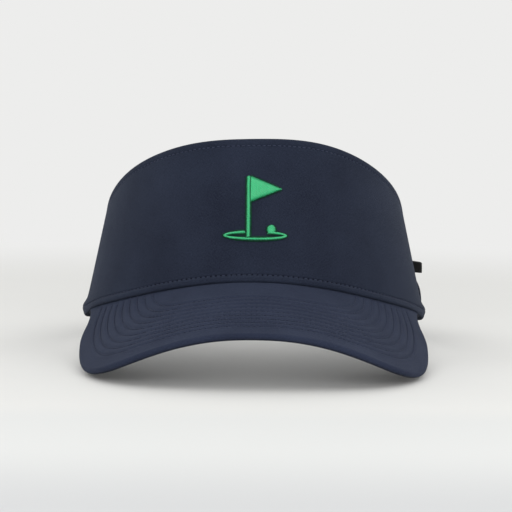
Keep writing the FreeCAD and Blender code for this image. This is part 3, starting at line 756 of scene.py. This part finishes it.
def bend(flat):
    x = np.sign(flat[..., 0]) * np.interp(np.abs(flat[..., 0]), arc_length, arc_x)
    return x, flat[..., 1] * PLAN_SHARE


ROW_FIRST, ROW_STEP, ROW_COUNT = 10.8, 4.5, 9
row_distances = ROW_FIRST + ROW_STEP * np.arange(ROW_COUNT)
flat_edge = flatten(outer_edge)
SOFTEN = 5.0
run_back = np.linspace(4, 80, 30)[:, None] * np.array([0, 1])
whole_edge = np.concatenate([flat_edge[0] + run_back[::-1], flat_edge, flat_edge[-1] + run_back])
spacing = np.linalg.norm(np.gradient(whole_edge, axis=0), axis=1)


def soft_distance(flat):
    """A distance from the brim's edge whose contours turn the corners in a round sweep, as sewn rows do."""
    flat = flat.reshape(-1, 2)
    found = np.empty(len(flat))
    for chunk in range(0, len(flat), 4000):
        gap = np.linalg.norm(flat[chunk:chunk + 4000, None] - whole_edge[None], axis=-1)
        least = gap.min(1, keepdims=True)
        shares = (np.exp((least - gap) / SOFTEN) * spacing).sum(1)
        found[chunk:chunk + 4000] = least[:, 0] - SOFTEN * np.log(shares)
    return found


true_distance = np.linspace(0, 75, 151)
soft_scale = soft_distance(np.stack([0 * true_distance, flat_edge[STATIONS // 2, 1] + true_distance], -1))


def edge_distance(flat):
    return np.interp(soft_distance(flat), soft_scale, true_distance).reshape(flat.shape[:-1])


def quilt(points, depth):
    """How far the stitch rows draw the cloth in, and how far it puffs between them."""
    distance = edge_distance(flatten(points))
    near = np.abs(distance[..., None] - row_distances).min(-1)
    among = (distance > ROW_FIRST - 2.5) & (distance < row_distances[-1] + 2.5)
    return depth * dip(near, 0.55) - among * depth * 0.35 * (1 - dip(near, 1.6))


def cover_rows(side):
    """Points of the top cover, side 1, or the bottom cover, side -1.

    They run along the brim, and then from the crown to the edge.
    """
    half = EDGE_ROUND * fullness
    lift = -half + half * side - (EDGE_ROUND - half)
    shares = np.linspace(-0.03, 1, 87)  # the brim's raw edge runs on a little inside the crown
    rim = outer_edge - outward * EDGE_ROUND
    flat_part = inner_edge[:, None] + (rim - inner_edge)[:, None] * shares[None, :, None]
    flat_part = flat_part + (normals * lift)[:, None]
    sunk = quilt(flat_part, 0.48 if side > 0 else 0.36)
    sunk = sunk * smoothstep(0.0, 0.04, shares)[None]
    wave = 0.10 * np.sin(flat_part[..., 0] / 9 + 1) * np.sin(flat_part[..., 1] / 8)
    sunk = sunk + wave * smoothstep(0, 0.2, shares)[None]
    flat_part = flat_part - normals[:, None] * side * sunk[..., None]
    turns = np.linspace(90, SEAM_TURN, 12)[1:] if side > 0 else np.linspace(-90, SEAM_TURN, 9)[1:]
    turns = np.radians(turns)[None, :, None]
    round_part = rim[:, None] + outward[:, None] * half[:, None] * np.cos(turns)
    round_part = round_part + normals[:, None] * (half[:, None] * np.sin(turns) - EDGE_ROUND)
    seam_dip = np.array([0.0] * (round_part.shape[1] - 2) + [0.12, 0.45])[None, :, None]
    round_part = round_part - outward[:, None] * seam_dip * fullness[:, None]
    return np.concatenate([flat_part, round_part], 1)


tops, bottoms = cover_rows(1), cover_rows(-1)
# the bottom cover is turned up along the brim's inner edge, to close it
bottoms = np.concatenate([tops[:, :1] * 0.9 + bottoms[:, :1] * 0.1, bottoms], 1)
brim_top = loft("brim_top", tops, "visor", "brim_fabric", brim_cloth, closed=False)
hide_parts("brim_top_cover", "brim_edge_fold")
brim_under = loft("brim_under", bottoms, "visor", "brim_fabric", under_cloth, closed=False)
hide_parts("brim_bottom_cover")
BOARD_UPPER, BOARD_LOWER, BOARD_ENDS = 1.1, 2.6, 20
board_shares = np.linspace(0.10, 1, 20)[None, :, None]
board_rim = outer_edge - outward * (EDGE_ROUND + 0.5)
board_sheet = inner_edge[:, None] + (board_rim - inner_edge)[:, None] * board_shares
board_upper, board_lower = (board_sheet - normals[:, None] * depth for depth in (BOARD_UPPER, BOARD_LOWER))
board = loft("brim_board_sheet", there_and_back(board_upper, board_lower)[BOARD_ENDS:-BOARD_ENDS], "visor",
             "brim_board", board_plastic)
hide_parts("brim_board")
for cover in (brim_top, brim_under):
    work = bmesh.new()
    work.from_mesh(cover.data)
    work.faces.ensure_lookup_table()
    upward = sum(f.normal.z * f.calc_area() for f in work.faces)
    if (upward < 0) == (cover is brim_top):
        bmesh.ops.reverse_faces(work, faces=work.faces)
    work.to_mesh(cover.data)
    work.free()


def tucked(x):
    """The nearest point, across, of the brim's inner edge."""
    return Vector((inner_edge[np.abs(inner_edge[:, 0] - x).argmin()] * MM).tolist())


def brim_lines(piece, side):
    """The brim's stitch rows, traced on the flat pattern and dropped onto one of its covers."""
    corners = [vertex.co for vertex in piece.data.vertices]
    tree = BVHTree.FromPolygons(corners, [polygon.vertices for polygon in piece.data.polygons])
    turn = np.radians(np.linspace(-98, 98, 700))
    reach = np.linspace(4, 170, 167)
    rays = np.stack([np.outer(np.sin(turn), reach), -15 - np.outer(np.cos(turn), reach)], -1)
    depths = edge_distance(rays)
    inside = (np.abs(rays[..., 0]) < flat_edge[:, 0].max() + 1) & (rays[..., 1] > flat_edge[:, 1].min() - 1)
    depths = np.where(inside, depths, -1.0)
    found = []
    for distance in row_distances:
        line, ups = [], []
        for ray, along_ray in zip(rays, depths):
            first = int(np.argmax(along_ray < distance))
            if first == 0:
                continue
            part = (along_ray[first - 1] - distance) / (along_ray[first - 1] - along_ray[first])
            x, y = bend(ray[first - 1] + (ray[first] - ray[first - 1]) * part)
            start = Vector((float(x) * MM, float(y) * MM, 0.3 * side))
            hit, normal, _, _ = tree.ray_cast(start, Vector((0, 0, -side)))
            if hit is not None and (hit - tucked(x)).length > 0.0015:
                line.append(np.array(hit) / MM)
                ups.append(np.array(normal) * (1 if normal.z * side > 0 else -1))
        if len(line) > 8:
            found.append((np.array(line), np.array(ups)))
    return found


top_lines = brim_lines(brim_top, 1)
stitches("brim_top_stitching", top_lines, "visor", navy_thread, length=1.8, radius=0.26, sink=0.10)
# painted shade: dark discs between the stitches of the brim's top rows
painted_hole_shadows("brim_painted_hole_shadows", top_lines, 0.44)
stitches("brim_under_stitching", brim_lines(brim_under, -1), "visor", dark_thread, radius=0.17)


# ---- emblem: a plain golf flag in satin stitch ----
def front_point(x, height, inset):
    """The crown's point at a distance x from the middle, as seen from the front, and its outward normal."""
    x, height = np.asarray(x, float), np.asarray(height, float)
    angle = np.degrees(np.arcsin(np.clip(x / FRONT, -1, 1)))
    for _ in range(8):
        here = cone(angle, height, inset)
        reach = np.hypot(here[..., 0], here[..., 1])
        angle = np.degrees(np.arcsin(np.clip(x / reach, -1, 1)))
    points = surface(angle, height, inset)
    return points, unit(surface(angle, height, inset - 1.0) - points)


THREAD_STEP, SATIN_RADIUS = 0.33, 0.20


def satin(name, columns, material, low, puff, grow=0.0):
    """Satin stitch: columns of threads side by side, each from one edge of a shape to the other."""
    groups = []
    share = np.linspace(0, 1, 9)
    for start, stop in columns:
        span = stop - start
        long, way = np.linalg.norm(span, axis=1, keepdims=True), unit(span)
        jitter = rng.normal(0, 0.05, (2, len(start), 1))
        start, stop = start - way * (grow + jitter[0]), stop + way * (grow + jitter[1])
        flat = start[:, None] + (stop - start)[:, None] * share[None, :, None]
        points, normal = front_point(flat[..., 0], flat[..., 1], 0.0)
        arch_up = np.sin(np.pi * share) ** 0.7
        height = low + puff * arch_up * np.minimum(long / 1.2, 1.0) + rng.normal(0, 0.05, (len(start), 1))
        points = points + normal * height[..., None]
        side = np.cross(unit(np.gradient(points, axis=1)), normal)
        width = SATIN_RADIUS * np.where((share == 0) | (share == 1), 0.5, 1.0)[None, :, None, None]
        groups.append(points[:, :, None] + ring_of(side, normal * 0.8, 6) * width)
    return tubes(name, groups, "visor", "embroidery", material)


def between(left, right, low, high):
    """A shape's threads, from its left or lower edge to its right or upper one."""
    return np.stack(np.broadcast_arrays(left, low), 1), np.stack(np.broadcast_arrays(right, high), 1)


def oval(half, squash, turn, middle):
    return np.stack([half * np.cos(turn), middle + half * squash * np.sin(turn)], 1)


flag_depth = (EMBLEM_HIGH - EMBLEM_LOW) * 0.4
POLE_LEFT, POLE_RIGHT, POLE_LOW = -4.5, -2.5, EMBLEM_LOW + 2
PENNANT_X, PENNANT_TIP = POLE_RIGHT + 0.1, 13.5
GREEN_HALF, GREEN_SQUASH, LINE_WIDTH = 16.0, 0.16, 2.0
BALL_X, BALL_RISE, BALL_RADIUS = 8.0, 3.2, 2.2
green_middle = EMBLEM_LOW + GREEN_HALF * GREEN_SQUASH
pole_heights = np.arange(POLE_LOW, EMBLEM_HIGH, THREAD_STEP)
pole = between(POLE_LEFT, POLE_RIGHT, pole_heights - 0.2, pole_heights + 0.2)
pennant_x = np.arange(PENNANT_X + 0.15, PENNANT_TIP - 0.4, THREAD_STEP)
pennant_half = flag_depth / 2 * (PENNANT_TIP - pennant_x) / (PENNANT_TIP - PENNANT_X)
pennant_mid = EMBLEM_HIGH - flag_depth / 2
pennant = between(pennant_x, pennant_x, pennant_mid - pennant_half, pennant_mid + pennant_half)
fine = np.radians(np.linspace(110, 425, 2000))
outer_line = oval(GREEN_HALF, GREEN_SQUASH, fine, green_middle)
inner_line = oval(GREEN_HALF - LINE_WIDTH, GREEN_SQUASH * 0.45, fine, green_middle)
walked = lengths((outer_line + inner_line) / 2, 0)
picks = np.searchsorted(walked, np.arange(0.1, walked[-1], THREAD_STEP))
green = (inner_line[picks], outer_line[picks])
ball_rise = np.arange(0.15 - BALL_RADIUS, BALL_RADIUS, THREAD_STEP)
ball_reach = np.sqrt(BALL_RADIUS**2 - ball_rise**2)
ball_height = green_middle + BALL_RISE + ball_rise
ball = between(BALL_X - ball_reach, BALL_X + ball_reach, ball_height, ball_height)
shapes = [pole, pennant, green, ball]
emblem = satin("emblem_satin", shapes, green_thread, 0.30, 1.0)
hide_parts("emblem")
satin("emblem_underlay", shapes, green_edge, 0.14, 0.22, grow=0.75)


# ---- closure: loop tape, strap with its sewn root, hook tape, tail and pull tab ----
SOFT_EDGE = 0.9  # the strap's and the tail's edges are turned and soft
STRAP_TOP, STRAP_MIDDLE = STRAP_LOW + STRAP_HEIGHT, (STRAP_IN + STRAP_OUT) / 2
TAIL_CENTRE = STRAP_LOW + STRAP_HEIGHT / 2


def strap_inner(angle):
    """The strap's inner face: against the wing at its sewn root, and clear of the tapes elsewhere."""
    return STRAP_IN + (ROOT_IN - STRAP_IN) * smoothstep(STRAP_FOLD - 1.0, STRAP_FOLD + 1.6, angle)


def strap_rows(angles):
    """The strap's section round the head: outer face up and inner face down."""
    angles = angles[:, None]
    heights = STRAP_LOW + STRAP_HEIGHT * eased(30) + 0 * angles
    inner = strap_inner(angles)
    middle, half = (inner + STRAP_OUT) / 2, (inner - STRAP_OUT) / 2
    near = np.minimum(heights - STRAP_LOW, STRAP_TOP - heights)
    soft = half * rounded(near, SOFT_EDGE, 0.06)
    groove = 0.16 * dip(near - 2.4, 0.5)
    insets = there_and_back(middle - soft + groove, middle + soft)
    return surface(angles, there_and_back(heights, heights), insets)


main_rows = strap_rows(even(ROOT_END - 0.3, STRAP_JOIN, 0.6))
root_cap = round_ends(main_rows, 0.4)[: len(main_rows) + 4]
strap = loft("closure_strap_cloth", root_cap, None, "strap_fabric", strap_cloth, caps=(True, False))
fold_low, fold_high = (surface_plain(STRAP_FOLD + side, TAIL_CENTRE, STRAP_OUT) for side in (1.2, -0.6))
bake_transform(strap)
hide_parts("closure_strap_root", "closure_strap")

# the tail leaves the band along its tangent: forward, up and inward are its own axes
tail_root = surface_plain(PEEL_FOLD, TAIL_CENTRE, STRAP_MIDDLE)
tail_up = unit(surface_plain(PEEL_FOLD, TAIL_CENTRE + 1, STRAP_MIDDLE) - tail_root)
tail_ahead = surface_plain(PEEL_FOLD - 0.5, TAIL_CENTRE, STRAP_MIDDLE) - tail_root
tail_ahead = unit(tail_ahead - tail_up * (tail_ahead @ tail_up))
tail_inward = np.cross(tail_ahead, tail_up)
TAIL_FROM = 0.3


def on_tail(along, up, inward=0.0):
    """A point of the tail from its own coordinates; it lifts a little and curls as it goes."""
    curl = 0.0002 * np.asarray(along, float) ** 2
    point = tail_root + np.multiply.outer(np.asarray(along, float) + TAIL_FROM, tail_ahead)
    point = point + np.multiply.outer(np.asarray(up, float), tail_up)
    return point + np.multiply.outer(np.asarray(inward, float) - curl, tail_inward)


def corner_drop(left, radius):
    """How far a corner of this radius cuts in where so much length is left."""
    return radius - np.sqrt(np.clip(radius**2 - np.clip(radius - left, 0, None) ** 2, 0, None))


def tail_limits(along):
    """Lower and upper edge of the tail at a distance along it."""
    half, left = STRAP_HEIGHT / 2, TAIL_LENGTH - along
    return corner_drop(left, TAIL_LOW_CORNER) - half, half - corner_drop(left, TAIL_TOP_CORNER)


def tail_layer(along, ups, outer, inner):
    """One section of a layer of the tail: its outer face up and its inner face down."""
    where = np.full(ups.shape, along)
    return np.concatenate([on_tail(where, ups, outer), on_tail(where, ups, inner)[::-1]])


def tail_strip():
    """Sections of the tail, closer together where its end draws in."""
    stop = TAIL_LENGTH - 0.02
    end = stop - 3.0 * (1 - np.sin(np.linspace(0, np.pi / 2, 14)))[1:]
    rows = []
    for along in np.concatenate([np.linspace(0.4, stop - 3.0, 40), end]):
        low, high = tail_limits(along)
        high = max(high, low + 0.05)
        ups = low + (high - low) * eased(30)
        soft = rounded(np.minimum(ups - low, high - ups), SOFT_EDGE, 0.06)
        draw = math.sqrt(max(1 - max(0.0, 1 - (TAIL_LENGTH - along) / 0.8) ** 2, 0.004))
        depth = (STRAP_IN - STRAP_OUT) / 2 * soft * draw
        rows.append(tail_layer(along, ups, -depth, depth))
    return np.array(rows)


bend_rows = strap_rows(even(STRAP_JOIN, PEEL_FOLD + 0.5, 0.6))
tail_rows = np.concatenate([bend_rows, tail_strip()])
tail = loft("closure_tail_cloth", tail_rows, None, "strap_fabric", strap_cloth, caps=(False, True))
peel_from = surface_plain(PEEL_FOLD + 1.2, TAIL_CENTRE, STRAP_MIDDLE)
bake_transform(tail)
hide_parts("closure_strap_tail")

TAPE_LOW, TAPE_HIGH = STRAP_LOW + 2.5, STRAP_TOP - 2.5
for name, body, slot, material, start, stop, outer, inner in (
    ("closure_loop_pile", "visor", "loop_tape", loop_pile, 122, 190, -0.5, -0.08),
    ("closure_hook_base", "strap", "hook_tape", hook_face, PEEL_FOLD + 1.4, 178, -1.4, -1.12),
):
    tape_rows = ply_rows(even(start, stop, 0.6), TAPE_LOW, TAPE_HIGH, outer, inner, 30)
    tape = loft(name, round_ends(tape_rows, 0.2), body, slot, material)
    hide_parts("closure_" + slot)

# a narrow grip strip along the lower half of the tail's inner face
grip_end = TAIL_LENGTH - np.array([1.1, 0.8, 0.55, 0.4])
grip_rows = []
for along in np.concatenate([np.linspace(24, TAIL_LENGTH - 1.5, 24), grip_end]):
    ups = np.linspace(max(tail_limits(along)[0] + 1.0, -11.5), -0.8, 16)
    grip_rows.append(tail_layer(along, ups, 0.62, 1.15))
loft("closure_tail_grip", round_ends(np.array(grip_rows), 0.15), "strap_tail", "hook_tape", hook_face)


HOOK_TURN, HOOK_STEP, HOOK_LENGTH, HOOK_RADIUS = 0.85, 1.25, 0.26, 0.09


def little_hooks(name, angle_low, angle_high):
    """Rows of tiny hooks that stand on the hook tape's inner face."""
    columns = np.arange(angle_low, angle_high, HOOK_TURN)
    rows = np.arange(TAPE_LOW + 1, TAPE_HIGH - 0.8, HOOK_STEP)
    angles, heights = (values.ravel() for values in np.meshgrid(columns, rows, indexing="ij"))
    foot = surface(angles, heights, -1.14)
    inward = surface(angles, heights, -0.14) - foot
    up = surface(angles, heights + 1, -1.14) - foot
    part = np.linspace(0, 1, 5)[:, None]
    centre = foot[:, None] + inward[:, None] * HOOK_LENGTH * np.sin(part * 2.2)
    centre = centre + up[:, None] * 0.22 * (1 - np.cos(part * 2.2))
    ring = ring_of(np.cross(inward, up), up, 4)[:, None] * HOOK_RADIUS * (1 - 0.5 * part)[:, None]
    return tubes(name, [centre[:, :, None] + ring], "strap", "hook_tape", hook_face, foot=False)


little_hooks("closure_hooks", PEEL_FOLD + 2, 177.5)


# ---- the closure's stitching and bar tacks ----
EDGE_ROW = 2.4


def strap_edge_lines(start, stop):
    """Stitch rows along the strap's lower and upper edges."""
    angles = even(start, stop)
    return [crown_line(angles, np.full(angles.shape, height), STRAP_OUT + 0.1)
            for height in (STRAP_LOW + EDGE_ROW, STRAP_TOP - EDGE_ROW)]


heights = even(STRAP_LOW + EDGE_ROW, STRAP_TOP - EDGE_ROW)
root_end_line = crown_line(np.full(heights.shape, ROOT_END - 1.5), heights, STRAP_OUT + 0.1)
root_lines = strap_edge_lines(ROOT_END - 1.5, STRAP_FOLD + 1) + [root_end_line]
stitches("strap_root_stitching", root_lines, "visor", navy_thread)
stitches("strap_stitching", strap_edge_lines(STRAP_FOLD - 0.8, PEEL_FOLD + 1), "strap", navy_thread)


def tail_row(side):
    """A stitch row a little inside the tail's outline, on its outer face, side -1, or its inner one, 1."""
    stations = np.linspace(0.5, TAIL_LENGTH - EDGE_ROW, 60)
    shrunk = stations + EDGE_ROW * smoothstep(TAIL_LENGTH - 14, TAIL_LENGTH - EDGE_ROW, stations)
    low, high = tail_limits(np.minimum(shrunk, TAIL_LENGTH - 0.05))
    along = np.concatenate([stations, stations[::-1]])
    ups = np.concatenate([low + EDGE_ROW * 0.9, (high - EDGE_ROW * 0.9)[::-1]])
    points = on_tail(along, ups, side * 0.58)
    return points, np.tile(tail_inward * side, (len(points), 1))


stitches("tail_stitching", [tail_row(-1), tail_row(1)], "strap_tail", navy_thread)


TACK_STEP, TACK_RADIUS = 0.42, 0.22


def bar_tack(name, node, angle):
    """A dense zigzag of thread across a strap."""
    ups = np.arange(STRAP_LOW + 2, STRAP_TOP - 2, TACK_STEP)[:, None]
    share = np.linspace(0, 1, 6)
    slant = np.where(np.arange(len(ups)) % 2, 0.25, -0.25)[:, None] * (2 * share - 1)
    line, normal = crown_line(angle + share, ups + slant, STRAP_OUT)
    line = line + normal * (0.28 * np.sin(np.pi * share) - 0.05)[:, None]
    side = np.cross(unit(np.gradient(line, axis=1)), normal)
    threads = line[:, :, None] + ring_of(side, normal, 4) * TACK_RADIUS
    tack = tubes(name, [threads], "visor", "thread", dark_thread)
    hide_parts(node)


bar_tack("strap_bar_tack_inner", "closure_tack_inner", 212.5)
bar_tack("strap_bar_tack_outer", "closure_tack_outer", 220.0)

# ---- pull tab: ribbed webbing folded back on itself, sewn to the tail's upper corner ----
droop = math.radians(TAB_DROOP)
tab_ahead = tail_ahead * math.cos(droop) - tail_up * math.sin(droop)
tab_up = tail_up * math.cos(droop) + tail_ahead * math.sin(droop)
tab_root = tail_root + tail_ahead * (TAIL_FROM + TAB_START) + tail_up * (STRAP_LOW + TAB_RISE - TAIL_CENTRE)
tab_root = tab_root - tail_inward * ((STRAP_IN - STRAP_OUT + TAB_THICK) / 2 + 0.1)
LAYER = 0.78  # one of the two plies
ply_off = (TAB_THICK - LAYER) / 2
fold_at = TAB_LENGTH - TAB_THICK / 2
fold_turn = np.radians(np.linspace(0, 180, 13)[1:-1])
tab_there = np.linspace(0, fold_at, 40)
tab_along = np.concatenate([tab_there, fold_at + ply_off * np.sin(fold_turn), tab_there[::-1]])
tab_in = ply_off * np.concatenate([np.ones(40), np.cos(fold_turn), -np.ones(40)])
tab_line = tab_root + np.multiply.outer(tab_along, tab_ahead) + np.multiply.outer(tab_in, tail_inward)
tab_out = np.cross(unit(np.gradient(tab_line, axis=0)), tab_up)
RIBS = 9
share = np.linspace(0, 1, RIBS * 8 + 1)
narrow = 1.0 - 0.10 * smoothstep(TAB_LENGTH * 0.4, TAB_LENGTH, tab_along)
ups = (share[None] - 0.5) * TAB_HEIGHT * narrow[:, None]
corner_wear = 1 - rounded(TAB_LENGTH - tab_along, 1.8)[:, None]  # the fold's upper corner is worn round
ups = ups - 1.5 * corner_wear * share[None] ** 3
rib = LAYER / 2 * (0.80 + 0.20 * np.abs(np.sin(np.pi * RIBS * share)))
rib = rib * np.sqrt(1 - np.clip(1 - np.minimum(share, 1 - share) * TAB_HEIGHT / 0.4, 0, 1) ** 2 * 0.96)
tab_middle, tab_half = tab_line[:, None] + ups[..., None] * tab_up, tab_out[:, None] * rib[None, :, None]
tab_rows = there_and_back(tab_middle + tab_half, tab_middle - tab_half)
tab = loft("closure_pull_tab_webbing", tab_rows, "strap_tail", "webbing", tab_webbing)
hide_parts("closure_pull_tab")
box = [(1.0, -2.2), (1.0, 2.2), (5.0, 2.2), (5.0, -2.2), (1.0, -2.2)]
corners = np.array([tab_root + tab_ahead * a + tab_up * u - tail_inward * (TAB_THICK / 2) for a, u in box])
side_shares = np.linspace(0, 1, 12)[:, None]
square = np.concatenate([corners[k] + (corners[k + 1] - corners[k]) * side_shares for k in range(4)])
stitches("tab_stitching", [(square, np.tile(-tail_inward, (len(square), 1)))], "strap_tail", navy_thread, 1.5,
         1.15, 0.16)

# ---- stage: a pale table that fades into a pale background ----
BACKDROP = srgb(237, 237, 236)
world = bpy.data.worlds.new("World")
bpy.context.scene.world = world
world.use_nodes = True
world.node_tree.nodes["Background"].inputs[0].default_value = BACKDROP
world.node_tree.nodes["Background"].inputs[1].default_value = 1.0
FLOOR = 6.0  # half its width, in metres
floor_mesh = bpy.data.meshes.new("floor")
floor_corners = [(-FLOOR, -FLOOR, 0), (FLOOR, -FLOOR, 0), (FLOOR, FLOOR, 0), (-FLOOR, FLOOR, 0)]
floor_mesh.from_pydata(floor_corners, [], [[0, 1, 2, 3]])
floor = bpy.data.objects.new("floor", floor_mesh)
bpy.context.scene.collection.objects.link(floor)
n = Nodes("floor")
place = n.add("TexCoord").outputs["Object"]
split = n.add("SeparateXYZ", {0: place})
x, y = split.outputs[0], split.outputs[1]
ahead = n.math("ADD", y, 0.30)
far = n.math("SQRT", n.math("ADD", n.math("MULTIPLY", x, x), n.math("MULTIPLY", ahead, ahead)))
fade = n.ease(far, 0.58, 0.82)
front_half = n.ease(y, -0.228, -0.185, 1.0, 0.0)
# painted shade: the floor darkens in a band in front of the visor, towards the camera
painted_front_shade = n.math("MULTIPLY", n.ease(y, -0.42, -0.285, 1.0, 0.0), n.ease(y, -0.75, -0.44))
tone = n.mix(n.noise(place, 14.0, 3.0), srgb(221, 221, 219), srgb(225, 225, 223))
tone = n.mix(front_half, tone, srgb(219, 220, 219))
tone = n.mix(n.ease(y, 0.0, 0.2), tone, srgb(219, 219, 217))
tone = n.mix(painted_front_shade, tone, srgb(202, 203, 204))
n.set(Base_Color=tone, Roughness=0.7, Specular_IOR_Level=0.1)
glow = n.add("Emission", {"Color": BACKDROP, "Strength": 1.0})
joined = n.add("MixShader", {0: fade, 1: n.shader.outputs[0], 2: glow.outputs[0]})
n.tree.links.new(joined.outputs[0], n.tree.nodes["Material Output"].inputs["Surface"])
floor_mesh.materials.append(n.material)


# ---- soft studio lights ----
def softbox(name, place, aim, width, height, power):
    light = bpy.data.lights.new(name, "AREA")
    light.shape = "RECTANGLE"
    light.size, light.size_y, light.energy = width, height, power
    lamp = bpy.data.objects.new(name, light)
    lamp.location = place
    lamp.rotation_mode = "QUATERNION"
    lamp.rotation_quaternion = (Vector(aim) - Vector(place)).to_track_quat("-Z", "Y")
    bpy.context.scene.collection.objects.link(lamp)


softbox("side_left", (-1.1, -0.3, 1.15), (0, 0, 0.03), 0.8, 0.8, 2.6)
softbox("side_right", (1.1, -0.3, 1.15), (0, 0, 0.03), 0.8, 0.8, 2.8)
softbox("front", (0, -1.5, 0.55), (0, 0, 0.0), 1.8, 0.7, 9.0)
softbox("overhead", (0, -0.75, 1.4), (0, 0, 0.03), 1.8, 1.0, 2.6)

# ---- camera at the photograph's view ----
CAMERA_TURN, CAMERA_RISE, CAMERA_ROLL = -0.19, 6.09, 0.69
CAMERA_FAR, SENSOR, LENS = 1.4, 36.0, 187.03
AIM_RIGHT, AIM_UP = -0.0323, 0.4114  # degrees from the picture's middle to the aim point
turn, rise = math.radians(CAMERA_TURN), math.radians(CAMERA_RISE)
back = Vector((math.sin(turn) * math.cos(rise), -math.cos(turn) * math.cos(rise), math.sin(rise)))
right = Vector((math.cos(turn), math.sin(turn), 0))
up = back.cross(right)
aim = Vector((0, -0.010, 0.060))
look = -back - right * tan_deg(AIM_RIGHT) - up * tan_deg(AIM_UP)
camera = bpy.data.objects.new("camera", bpy.data.cameras.new("camera"))
bpy.context.scene.collection.objects.link(camera)
bpy.context.scene.camera = camera
camera.data.sensor_width = SENSOR
camera.data.lens = LENS
camera.location = aim + back * CAMERA_FAR
level = look.to_track_quat("-Z", "Y").to_matrix().to_4x4()
turned = level @ Matrix.Rotation(math.radians(CAMERA_ROLL), 4, "Z")
camera.rotation_mode = "QUATERNION"
camera.rotation_quaternion = turned.to_quaternion()
camera.data.clip_start, camera.data.clip_end = 0.05, 50.0
bpy.context.scene.view_settings.view_transform = "Standard"
